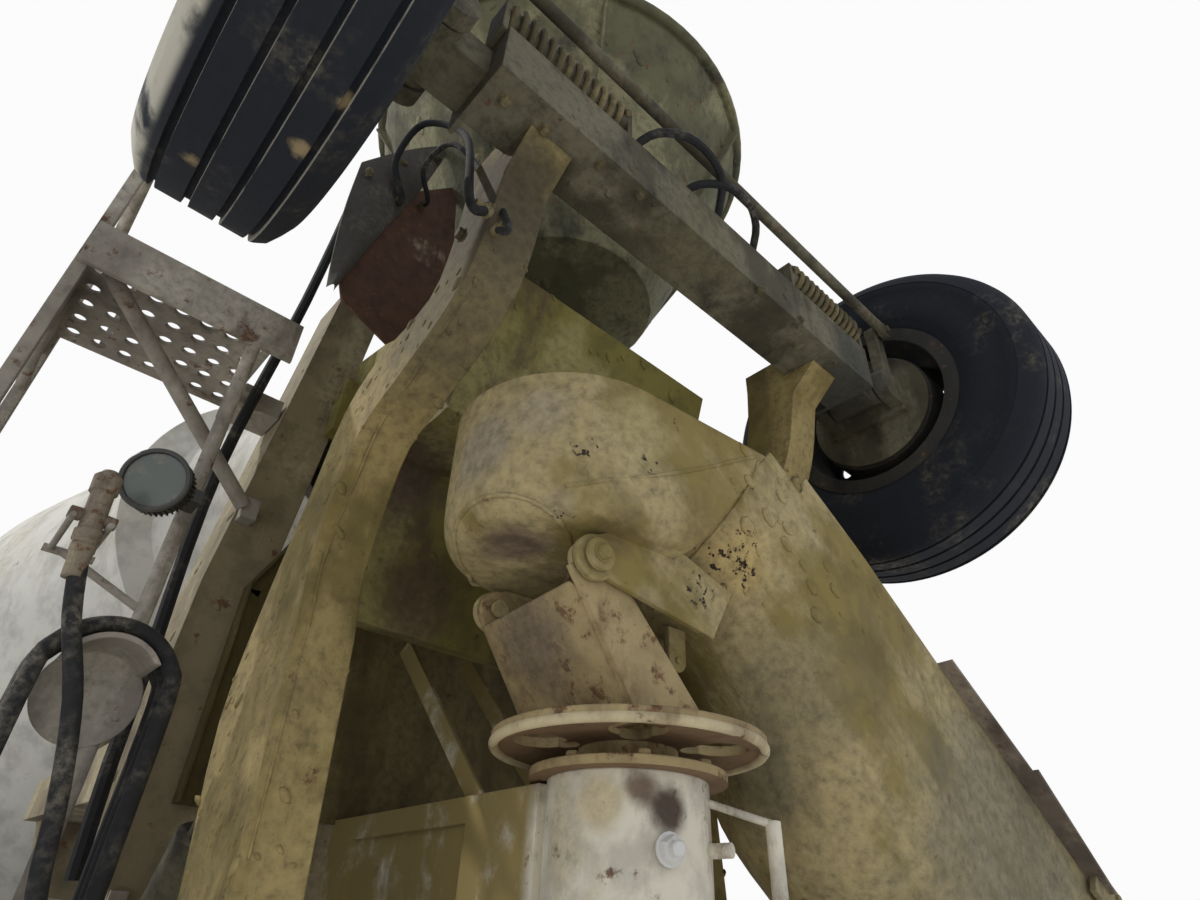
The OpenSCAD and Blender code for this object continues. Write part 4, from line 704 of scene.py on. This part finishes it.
# Nozzle collars, tip and the hose's crimped end
b = bmesh.new()
n0, n1 = at(0.923, -0.7, 1.964), at(0.936, -0.7, 2.12)
nd = (n1 - n0).normalized()
turned(b, n0 - nd * 0.05, nd, [(0, 0.0175), (0.045, 0.0185), (0.05, 0.021), (0.062, 0.021)], 24)
turned(b, n0, nd, [(0.02, 0.0203), (0.022, 0.0235), (0.04, 0.0235), (0.042, 0.0203)], 24)
turned(b, n0, nd, [(0.118, 0.0203), (0.12, 0.0245), (0.152, 0.0245), (0.158, 0.016), (0.164, 0.014)], 24)
turned(b, at(0.89, -0.7, 2.03), (1, 0, 0),
       [(0.0, 0.0092), (0.001, 0.012), (0.02, 0.013), (0.024, 0.0092)], 20)
turned(b, at(0.946, -0.7, 2.03), (1, 0, 0),
       [(0.0, 0.0092), (0.004, 0.013), (0.023, 0.012), (0.024, 0.0092)], 20)
nozzle_detail = piece("nozzle_collars", b, M["nozzle"])


# Tyres: tread ribs with grooves and lugs, bulged sidewalls, bead rings
BEAD_R, DRIVE_TYRE_W = 0.286, 0.28
ROAD_GROOVES = [-0.5, -0.17, 0.17, 0.5]
BOOSTER_GROOVES = [-0.6, -0.2, 0.2, 0.6]


def tyre_skin(bm, cx, cy, cz, r, w, grooves, lug_deep, sides, slots):
    """A hollow tyre about an axle along x, with a lug cut at every few of its sections."""
    half = w / 2
    top = [(-half + 0.012, r - 0.036), (-half + 0.026, r - 0.013), (-half + 0.044, r - 0.003)]
    outer = [(-half + 0.032, BEAD_R + 0.001), (-half + 0.02, BEAD_R + 0.008), (-half + 0.02, BEAD_R + 0.024),
             (-half + 0.014, BEAD_R + 0.03), (-half + 0.008, BEAD_R + 0.052), (-half + 0.006, BEAD_R + 0.054),
             (-half + 0.001, BEAD_R + 0.09), (-half, BEAD_R + 0.12), (-half + 0.002, r - 0.085),
             (-half + 0.001, r - 0.083), (-half + 0.003, r - 0.06), (-half + 0.001, r - 0.058)]
    tread = []
    for g in grooves:
        u = g * half
        tread += [(u - 0.0065, r - 0.001), (u - 0.005, r - 0.014),
                  (u + 0.005, r - 0.014), (u + 0.0065, r - 0.001)]
    inner = [(half - 0.06, BEAD_R + 0.012), (half - 0.02, BEAD_R + 0.1), (half - 0.06, r - 0.05),
             (-half + 0.06, r - 0.05), (-half + 0.02, BEAD_R + 0.1), (-half + 0.06, BEAD_R + 0.012)]
    line = outer + top + tread + [(-u, v) for u, v in reversed(outer + top)] + inner
    loops = []
    for k in range(sides):
        a = 2 * math.pi * k / sides
        loop = []
        for i, (u, v) in enumerate(line):
            on_tread = len(outer) <= i < len(line) - len(inner) - len(outer)
            shoulder = on_tread and abs(u) > abs(grooves[0]) * half + 0.01
            if shoulder and k % slots == 0:
                v = v - lug_deep
            loop.append(bm.verts.new((cx + u, cy + v * math.sin(a), cz + v * math.cos(a))))
        loops.append(loop)
    n = len(line)
    for a, b in zip(loops, loops[1:] + loops[:1]):
        for k in range(n):
            bm.faces.new((a[k], b[k], b[(k + 1) % n], a[(k + 1) % n]))


def wheel_facts(tyre):
    """A tyre's box, its axle's y and z, and its radius."""
    lo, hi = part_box(tyre)
    return lo, hi, (lo.y + hi.y) / 2, (lo.z + hi.z) / 2, (hi.z - lo.z) / 2


for side in ("left", "right"):
    lo, hi, cy, cz, r = wheel_facts(f"tyre_front_{side}")
    b = bmesh.new()
    tyre_skin(b, (lo.x + hi.x) / 2, cy, cz, r, hi.x - lo.x, ROAD_GROOVES, 0.005, 132, 4)
    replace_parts(piece(f"front_tyre_{side}", b, M["tyre"], f"wheel_front_{side}"), f"tyre_front_{side}")
    lo, hi, cy, cz, r = wheel_facts(f"tyre_booster_{side}")
    b = bmesh.new()
    tyre_skin(b, (lo.x + hi.x) / 2, cy, cz, r, hi.x - lo.x, BOOSTER_GROOVES, 0.0, 160, 4)
    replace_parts(piece(f"booster_tyre_{side}", b, M["booster_tyre"], f"wheel_booster_{side}"),
                f"tyre_booster_{side}")
    for i in (1, 2):
        lo, hi, cy, cz, r = wheel_facts(f"tyres_drive_{i}_{side}")
        b = bmesh.new()
        for cx in (lo.x + DRIVE_TYRE_W / 2, hi.x - DRIVE_TYRE_W / 2):
            tyre_skin(b, cx, cy, cz, r, DRIVE_TYRE_W, ROAD_GROOVES, 0.012, 132, 3)
        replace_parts(piece(f"drive_tyres_{i}_{side}", b, M["tyre"], f"wheels_drive_{i}_{side}"),
                    f"tyres_drive_{i}_{side}")

# Centring springs: a coil round each guide on the raised axle
COILS, COIL_STEPS, COIL_R, COIL_X0, COIL_X1 = 13, 14, 0.0385, 0.352, 0.694
for side, sx in (("left", 1), ("right", -1)):
    b = bmesh.new()
    pts = []
    for k in range(COILS * COIL_STEPS + 1):
        a = 2 * math.pi * k / COIL_STEPS
        x = COIL_X0 + (COIL_X1 - COIL_X0) * k / (COILS * COIL_STEPS)
        pts.append((sx * x, AX_Y + 0.08 + COIL_R * math.cos(a), AX_Z + 0.15 + COIL_R * math.sin(a)))
    tube(b, pts, 0.0085, 8)
    piece(f"centring_spring_{side}", b, M["spring"])


# Chute: the same bucket and trough as in the CAD, with finer sections
CHUTE_R, END_R, CHUTE_LEN, CHUTE_T = 0.262, 0.225, 1.28, 0.008
TROUGH = [(-0.11, CHUTE_R, 0.402), (0.2, CHUTE_R, 0.435), (0.33, CHUTE_R - 0.004, 0.474),
          (0.56, CHUTE_R - 0.012, 0.57), (0.94, CHUTE_R - 0.024, 0.55), (CHUTE_LEN, END_R, 0.43)]
BUCKET_U, BUCKET_Z = -0.175, 2.036
BUCKET = [(0, 0.186), (0.014, 0.228), (0.054, 0.25), (0.124, CHUTE_R - 0.006), (0.309, CHUTE_R - 0.004)]


def trough_bm(t):
    """The trough's outside, or its inside when t is the wall."""
    bm = bmesh.new()
    rows = smooth_path(TROUGH, 6)
    loops = []
    for i, (s_, w, d) in enumerate(rows):
        s_ += 0 if t == 0 else (-0.016 if i == 0 else 0.002 if i == len(rows) - 1 else 0)
        top = 0.3 if t else 0
        line = [(w - t, top), (t - w, top)] + arc_points(0, w - d, w - t, 180, 360, 40)
        loops.append([slope_frame @ Vector((s_, y, z)) for y, z in line])
    rings(bm, loops)
    outward(bm)
    return bm


def bucket_bm(t):
    """The head bucket's outside, or its inside when t is the wall."""
    bm = bmesh.new()
    loops = []
    rows = smooth_path(BUCKET[:4], 5) + [BUCKET[4]]
    for i, (h, r) in enumerate(rows):
        z = BUCKET_Z + h + (0 if t == 0 else t if i == 0 else 0.002 if i == len(rows) - 1 else 0)
        f = 0.2 - (2.35 - z) * math.tan(SLOPE - math.radians(0.8)) - t
        r -= t
        line = [(f, -r), (f, r)] + arc_points(BUCKET_U, 0, r, 90, 270, 40)
        loops.append([chute_frame @ Vector((u, v, z)) for u, v in line])
    rings(bm, loops)
    outward(bm)
    return bm


def carve(base, steps):
    """Join and cut solids in turn, then keep the result as base's mesh."""
    for op, other in steps:
        m = base.modifiers.new(op, "BOOLEAN")
        m.operation = op
        m.solver = "EXACT"
        m.object = other
    bpy.context.view_layer.update()
    dg = bpy.context.evaluated_depsgraph_get()
    me = bpy.data.meshes.new_from_object(base.evaluated_get(dg))
    base.modifiers.clear()
    old = base.data
    base.data = me
    bpy.data.meshes.remove(old)
    for _, other in steps:
        data = other.data
        bpy.data.objects.remove(other)
        bpy.data.meshes.remove(data)
    return base


def finish_mesh(o, mat, body):
    """Material, sharp edges and body for an object made by carve."""
    bm = bmesh.new()
    bm.from_mesh(o.data)
    bmesh.ops.dissolve_degenerate(bm, dist=1e-5, edges=bm.edges)
    edges(bm, 30)
    bm.to_mesh(o.data)
    bm.free()
    o.data.materials.clear()
    o.data.materials.append(mat)
    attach(o, body)


cutter = bmesh.new()
block(cutter, (-0.2, -0.4, -0.059), (0, 0.4, 0.141), slope_frame)
outward(cutter)
chute_shell = carve(loose(trough_bm(0), "chute_shell"), [
    ("DIFFERENCE", loose(cutter, "cutter")),
    ("UNION", loose(bucket_bm(0), "bucket_out")),
    ("DIFFERENCE", loose(bucket_bm(CHUTE_T), "bucket_in")),
    ("DIFFERENCE", loose(trough_bm(CHUTE_T), "trough_in"))])
finish_mesh(chute_shell, M["chute"], "main_chute")
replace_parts(chute_shell, "main_chute")

# Chute: rim strips, hinge lugs, ears, pins and the lift lug
TILT_U, TILT_Z, EAR_T, YOKE_OUT = -0.23, 1.98, 0.014, 0.164
RAM_U, EYE_Z = 0.1, 1.902


def slab(bm, outline, across_lo, across_hi, frame_of, plane="uz"):
    """A flat plate: outline in (u, z) or (u, v) and its two faces along the other axis."""
    rings(bm, [[frame_of @ Vector((a, w, c) if plane == "uz" else (a, c, w)) for a, c in outline]
               for w in (across_lo, across_hi)])


def disc_points(cu, cz, r):
    return [(cu + x, cz + z) for x, z in circle(r, 28)[:-1]]


b = bmesh.new()
for s_ in (1, -1):
    slab(b, [(0.56, s_ * (CHUTE_R - 0.016)), (0.56, s_ * (CHUTE_R + 0.024)), (0.9, s_ * (CHUTE_R + 0.02)),
             (0.9, s_ * (CHUTE_R + 0.034)), (CHUTE_LEN, s_ * (END_R + 0.042)),
             (CHUTE_LEN, s_ * (END_R - 0.002))],
         0, 0.008, slope_frame, "uv")
piece("chute_rim_strips", b, M["strip"], "main_chute", bevel=0.0015)
b = bmesh.new()
for s_ in (1, -1):
    block(b, (CHUTE_LEN - 0.06, s_ * (END_R + 0.02) - 0.008, -0.04),
          (CHUTE_LEN + 0.052, s_ * (END_R + 0.02) + 0.008, 0.036), slope_frame)
    lo_v, hi_v = sorted((s_ * (YOKE_OUT + 0.006), s_ * (YOKE_OUT + 0.006 + EAR_T)))
    slab(b, disc_points(TILT_U, TILT_Z, 0.044), lo_v, hi_v, chute_frame)
    slab(b, [(TILT_U - 0.03, TILT_Z + 0.03), (TILT_U + 0.03, TILT_Z - 0.034), (0.06, 1.9), (0.12, 2.01),
             (-0.06, BUCKET_Z + 0.04), (-0.2, BUCKET_Z + 0.004)], lo_v + 0.0002, hi_v - 0.0002, chute_frame)
    c = chute_frame @ Vector((TILT_U, s_ * (YOKE_OUT + 0.013), TILT_Z))
    out = chute_frame.to_3x3() @ Vector((0, s_, 0))
    turned(b, c, out, [(-0.036, 0.0195), (0.017, 0.0195)], 24)
for v in (-0.04, 0.026):
    slab(b, disc_points(RAM_U, EYE_Z, 0.024), v, v + 0.014, chute_frame)
    slab(b, [(RAM_U - 0.024, EYE_Z), (RAM_U + 0.024, EYE_Z), (RAM_U + 0.024, EYE_Z + 0.07),
             (RAM_U - 0.024, EYE_Z + 0.07)], v + 0.0002, v + 0.0138, chute_frame)
turned(b, chute_frame @ Vector((RAM_U, -0.044, EYE_Z)), chute_frame.to_3x3() @ Vector((0, 1, 0)),
       [(0, 0.007), (0.088, 0.007)], 16)
piece("chute_fittings", b, M["chute"], "main_chute", bevel=0.0015)

# Hopper: pipe round its rim, ribs down its wall
HOP_Y, HOP_TOP, HOP_R = -0.64, 4.0, 0.69
THROAT_Y, THROAT_Z, THROAT_R = -0.56, 3.15, 0.3
b = bmesh.new()
tube(b, [at(x, HOP_Y + y, HOP_TOP - 0.012) for x, y in circle(HOP_R + 0.014, 72)], 0.02, 12, cap=False)
piece("hopper_rim_pipe", b, M["hopper"])
b = bmesh.new()
for a in (20, 62, 118, 160, 205, 335):
    a = math.radians(a)
    side = Vector((-math.sin(a), math.cos(a), 0)) * 0.004
    top = at(HOP_R * math.cos(a), HOP_Y + HOP_R * math.sin(a), HOP_TOP - 0.07)
    low = at(THROAT_R * math.cos(a), THROAT_Y + THROAT_R * math.sin(a), THROAT_Z + 0.06)
    out = Vector((math.cos(a), math.sin(a), -0.45)).normalized()
    loops = []
    for p, d in ((top, 0.03), (low, 0.022)):
        loops.append([p - out * 0.012 - side, p - out * 0.012 + side, p + out * d + side, p + out * d - side])
    rings(b, loops)
piece("hopper_ribs", b, M["hopper"])

# Work lamp: finned body, bezel and lens
FINS = 40
lamp_at = at(0.835, -0.8, 2.185)
lamp_dir = Vector((0.408, 0.875, -0.259)).normalized()
b = bmesh.new()
turned(b, lamp_at + lamp_dir * 0.046, lamp_dir, [(0, 0.0625), (0.002, 0.067), (0.012, 0.068), (0.015, 0.065),
                                                (0.0145, 0.059), (0.008, 0.057)], 64)
fin_side = lamp_dir.orthogonal().normalized()
for k in range(FINS):
    q = Matrix.Rotation(2 * math.pi * k / FINS, 3, lamp_dir) @ fin_side
    w = lamp_dir.cross(q) * 0.0016
    base = lamp_at + q * 0.0615
    tip = lamp_at + q * 0.0665
    rings(b, [[base - w, base + w, tip + w, tip - w],
              [p + lamp_dir * 0.042 for p in (base - w, base + w, tip + w, tip - w)]])
piece("work_lamp_bezel", b, M["lamp"])
b = bmesh.new()
turned(b, lamp_at + lamp_dir * 0.0525, lamp_dir,
       [(0, 0.0575), (0.002, 0.057), (0.0035, 0.04), (0.0045, 0.0)], 64)
piece("work_lamp_lens", b, M["lens"])

# Rear lamps: domed ribbed lenses
LAMP_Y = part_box("chassis_frame")[1].y - 0.26
LENS_RIBS = [(0.0003, 0.052), (0.004, 0.052), (0.004, 0.047), (0.008, 0.044), (0.007, 0.036), (0.01, 0.034),
             (0.009, 0.026), (0.012, 0.022), (0.0115, 0.01), (0.013, 0.0)]
for sx in (1, -1):
    for k, look in enumerate(("red_lens", "red_lens", "clear_lens")):
        b = bmesh.new()
        c = Vector((sx * (0.7 + 0.13 * k), LAMP_Y, 0.78))
        turned(b, c, (0, 1, 0), LENS_RIBS, 40)
        piece(f"rear_lens_{'left' if sx > 0 else 'right'}_{k}", b, M[look])

# Chute pins' caps, swivel bolts
b = bmesh.new()
for sv in (1, -1):
    c = chute_frame @ Vector((TILT_U, sv * 0.194, TILT_Z))
    out = chute_frame.to_3x3() @ Vector((0, sv, 0))
    turned(b, c, out, [(-0.002, 0.031), (0.006, 0.031), (0.009, 0.026), (0.009, 0.02)], 32)
    hex_bolt(b, c + out * 0.009, out, 0.015)
piece("chute_pin_caps", b, M["chute"], "main_chute")
SWIVEL_R, SWIVEL_Z = 0.165, 1.6713
b = bmesh.new()
for k in range(8):
    a = math.radians(45 * k + 10)
    hex_bolt(b, at(SWIVEL_R * math.cos(a), -POST_BACK + SWIVEL_R * math.sin(a), SWIVEL_Z), (0, 0, 1), 0.012)
piece("swivel_bolts", b, M["disc"], "chute_swivel")

# Bulkhead across the rear stand, with its angle-iron edge and bolts
PANEL_Y = -1.15
PANEL_T, ANGLE_LEG, ANGLE_T = 0.008, 0.04, 0.006
b = bmesh.new()
edge = [(-0.52, 1.64), (0.52, 1.64), (0.52, 2.16), (0.34, 2.535), (-0.34, 2.535), (-0.52, 2.16)]
rings(b, [[at(x, PANEL_Y, z) for x, z in edge], [at(x, PANEL_Y + PANEL_T, z) for x, z in edge]])
piece("stand_bulkhead", b, M["panel"], bevel=0.001)
b = bmesh.new()
for (x0, z0), (x1, z1) in zip(edge[1:4] + edge[4:], edge[2:5] + edge[5:] + edge[:1]):
    run = Vector((x1 - x0, 0, z1 - z0)).normalized()
    inward = Vector((-run.z, 0, run.x))
    ends = [at(x0, PANEL_Y + 0.0075, z0), at(x1, PANEL_Y + 0.0075, z1)]
    thick, leg = Vector((0, ANGLE_T, 0)), Vector((0, ANGLE_LEG, 0))
    rings(b, [[e, e + inward * ANGLE_LEG, e + inward * ANGLE_LEG + thick, e + inward * ANGLE_T + thick,
               e + inward * ANGLE_T + leg, e + leg] for e in ends])
    if abs(x1 - x0) > 0.6:
        for k in range(1, 6):
            hex_bolt(b, ends[0].lerp(ends[1], k / 6) + inward * 0.024 + thick, (0, 1, 0), 0.01)
piece("bulkhead_angles", b, M["panel"])

# Splash plate beside the collector and the hopper's throat, and the rubber flap over it
SPLASH_Y = AX_Y - 0.625
PLATE_T, FLAP_T, FLAP_STEPS = 0.007, 0.006, 12
PLATE_EDGE = ((456, 188), (452, 262), (430, 322), (385, 345), (340, 300), (336, 262), (356, 200))
FLAP_OUTER = ((362, 162), (346, 205), (334, 250), (327, 286))
FLAP_INNER = ((452, 146), (425, 185), (382, 232), (334, 290))
b = bmesh.new()
edge = [in_plane(u, v, SPLASH_Y) for u, v in PLATE_EDGE]
rings(b, [edge, [q + Vector((0, PLATE_T, 0)) for q in edge]])
piece("splash_plate", b, M["plate"], bevel=0.001)
outer = smooth_path([in_plane(u, v, SPLASH_Y + 0.016) for u, v in FLAP_OUTER], 8)
inner = smooth_path([in_plane(u, v, SPLASH_Y + 0.016) for u, v in FLAP_INNER], 8)
b = bmesh.new()
loops = []
for i, (p0, p1) in enumerate(zip(outer, inner)):
    row = []
    for k in range(FLAP_STEPS + 1):
        t = k / FLAP_STEPS
        q = p0.lerp(p1, t)
        q.y += 0.022 * math.sin(math.pi * t) + 0.006 * math.sin(3 * math.pi * i / len(outer)) * t
        row.append(q)
    loops.append(row + [q - Vector((0, FLAP_T, 0)) for q in reversed(row)])
rings(b, loops)
piece("splash_flap", b, M["flap"])
b = bmesh.new()
for u, v in ((370, 172), (404, 164), (438, 158)):
    q = in_plane(u, v, SPLASH_Y + 0.04)
    tube(b, [q - Vector((0, 0.045, 0)), q], 0.006, 16)
    hex_bolt(b, q, (0, 1, 0), 0.011)
piece("flap_bolts", b, M["spring"])


def on_surface(o, pts):
    """Points of the photograph laid on an object's surface."""
    return [hit(o, u, v)[0] for u, v in pts]


# Welds: the bucket's crease and seams, the rim of its oval recess, the arms' corners
OVAL_U, OVAL_V, OVAL_W, OVAL_H, OVAL_TURN = 514, 548, 62, 50, 0.5
CREASE = [(565, 486), (600, 481), (650, 476), (700, 469), (735, 461), (755, 457)]
FACET_EDGE = [(655, 590), (690, 560), (725, 520), (750, 485), (758, 462)]
ARM_CORNER = [(248, 860), (284, 719), (310, 620), (324, 560), (356, 480), (383, 420), (411, 380), (450, 320),
              (478, 280)]
b = bmesh.new()
bead(b, on_surface(chute_shell, CREASE), 0.004, 8, 5)
bead(b, on_surface(chute_shell, FACET_EDGE), 0.0045, 8, 6)
oval = [(OVAL_U + OVAL_W * c * math.cos(OVAL_TURN) - OVAL_H * s * math.sin(OVAL_TURN),
         OVAL_V + OVAL_W * c * math.sin(OVAL_TURN) + OVAL_H * s * math.cos(OVAL_TURN))
        for c, s in circle(1, 28)]
bead(b, on_surface(chute_shell, oval), 0.0055, 4, 7)
piece("bucket_welds", b, M["chute"], "main_chute")
b = bmesh.new()
bead(b, on_surface("booster_arms", ARM_CORNER), 0.003, 10, 8)
piece("arm_weld", b, M["arms"])


EIGHTH_TURN, WHOLE_TURN = 0.785, 6.28
THICKEST, CRUST_SUNK = 0.005, 0.0012


def crust(name, o, mat, body, count, seed, small=0.006, large=0.022, keep=None):
    """Low, ragged lumps of set concrete scattered over an object's faces."""
    rnd = random.Random(seed)
    faces, sums, total = [], [], 0.0
    mesh = o.data
    for f in mesh.polygons:
        if f.area > 1e-6:
            total += f.area
            faces.append(f)
            sums.append(total)
    bm = bmesh.new()
    for _ in range(count):
        f = faces[min(bisect.bisect(sums, rnd.random() * total), len(faces) - 1)]
        vs = [mesh.vertices[i].co for i in f.vertices]
        i = rnd.randrange(1, len(vs) - 1)
        s1, s2 = math.sqrt(rnd.random()), rnd.random()
        c = vs[0] * (1 - s1) + vs[i] * s1 * (1 - s2) + vs[i + 1] * s1 * s2
        r = small + (large - small) * rnd.random() ** 3
        tall = min(THICKEST, 0.3 * r)
        n = f.normal
        if keep and not keep(c):
            continue
        side = n.orthogonal().normalized()
        other = n.cross(side)
        wob = [0.7 + 0.6 * rnd.random() for _ in range(8)]
        turn = WHOLE_TURN * rnd.random()
        rows = []
        for k, h in ((1.0, -CRUST_SUNK), (0.72, 0.6 * tall), (0.34, tall)):
            row = []
            for j, w in enumerate(wob):
                a = turn + j * EIGHTH_TURN
                row.append(c + n * h + r * k * (0.5 + 0.5 * w) * (math.cos(a) * side * 1.3
                                                                  + math.sin(a) * other * 0.8))
            rows.append(row)
        rings(bm, rows)
    return piece(name, bm, mat, body, angle=80, fix=False)


def off_hinges(c):
    """Away from the chute's pins, its hinge and the ram's eye."""
    u = slope_frame.inverted() @ c
    w = chute_frame.inverted() @ c
    on_trough = -0.2 < u.x < CHUTE_LEN - 0.09 and u.z < -0.02
    return on_trough and (w - Vector((TILT_U, w.y, TILT_Z))).length > 0.14 and w.z > 1.99


crust("chute_crust", chute_shell, M["chute"], "main_chute", 900, 21, keep=off_hinges)
crust("arm_crust", NODES["booster_arms"], M["arms"], "chassis", 900, 22, 0.005, 0.016,
      keep=lambda c: c.z < 2.6)
crust("beam_crust", NODES["booster_axle"], M["beam"], "chassis", 300, 23, 0.004, 0.012,
      keep=lambda c: abs(c.x) < 0.62 and c.z < AX_Z + 0.1)
crust("collector_crust", NODES["collector"], M["collector"], "chassis", 400, 24)
crust("hopper_crust", NODES["charge_hopper"], M["hopper"], "chassis", 500, 25)
crust("stand_crust", NODES["drum_pedestals"], M["stand"], "chassis", 400, 26, keep=lambda c: c.y > AX_Y - 1.3)

# Rolled edge of the swivel's disc
DISC_R, DISC_Z = 0.256, 1.712
b = bmesh.new()
tube(b, [at(x, -POST_BACK + y, DISC_Z) for x, y in circle(DISC_R, 72)], 0.0095, 10, cap=False)
piece("disc_edge", b, M["edge"], "chute_swivel")

# Bolts on the raised beam and the arms' heads
BOLTS = {"booster_axle": ((505, 100, 0.012), (545, 130, 0.012), (600, 165, 0.01), (640, 195, 0.01),
                          (760, 290, 0.01), (800, 320, 0.01)),
         "booster_arms": ((490, 210, 0.014), (462, 235, 0.014))}
b = bmesh.new()
for o, rows in BOLTS.items():
    for u, v, r in rows:
        q, n = hit(o, u, v)
        hex_bolt(b, q, n, r)
piece("beam_bolts", b, M["spring"])

# Two hydraulic hoses from the splash plate to the arm's head, with a fitting at each end
hoses, fittings = bmesh.new(), bmesh.new()
for start, middle, end, r in (
        ((394, 206), ((396, 160, -0.55), (424, 124, -0.46), (466, 136, -0.3)), (490, 214), 0.01),
        ((420, 208), ((424, 168, -0.53), (450, 144, -0.42), (476, 164, -0.29)), (494, 232), 0.008)):
    p0, (p1, n1) = in_plane(*start, SPLASH_Y + PLATE_T), hit("booster_arms", *end)
    n0 = Vector((0, 1, 0))
    for q, n in ((p0, n0), (p1, n1)):
        turned(fittings, q - n * 0.002, n, [(0, r + 0.003), (0.01, r + 0.005), (0.022, r + 0.005),
                                            (0.024, r + 0.002), (0.04, r + 0.002)], 6)
    route = [p0 + n0 * 0.01, p0 + n0 * 0.045]
    route += [in_plane(u, v, AX_Y + y) for u, v, y in middle]
    route += [p1 + n1 * 0.05, p1 + n1 * 0.01]
    tube(hoses, smooth_path(route, 8), r, 12)
piece("knuckle_hoses", hoses, M["hose"])
piece("hose_fittings", fittings, M["spring"])

# Bolt on the post
b = bmesh.new()
q, n = hit("chute_post", 668, 850)
turned(b, q - n * 0.004, n, [(0, 0.018), (0.012, 0.018), (0.014, 0.012), (0.04, 0.012), (0.043, 0.009)], 20)
hex_bolt(b, q + n * 0.006, n, 0.021)
piece("post_bolt", b, M["white"])
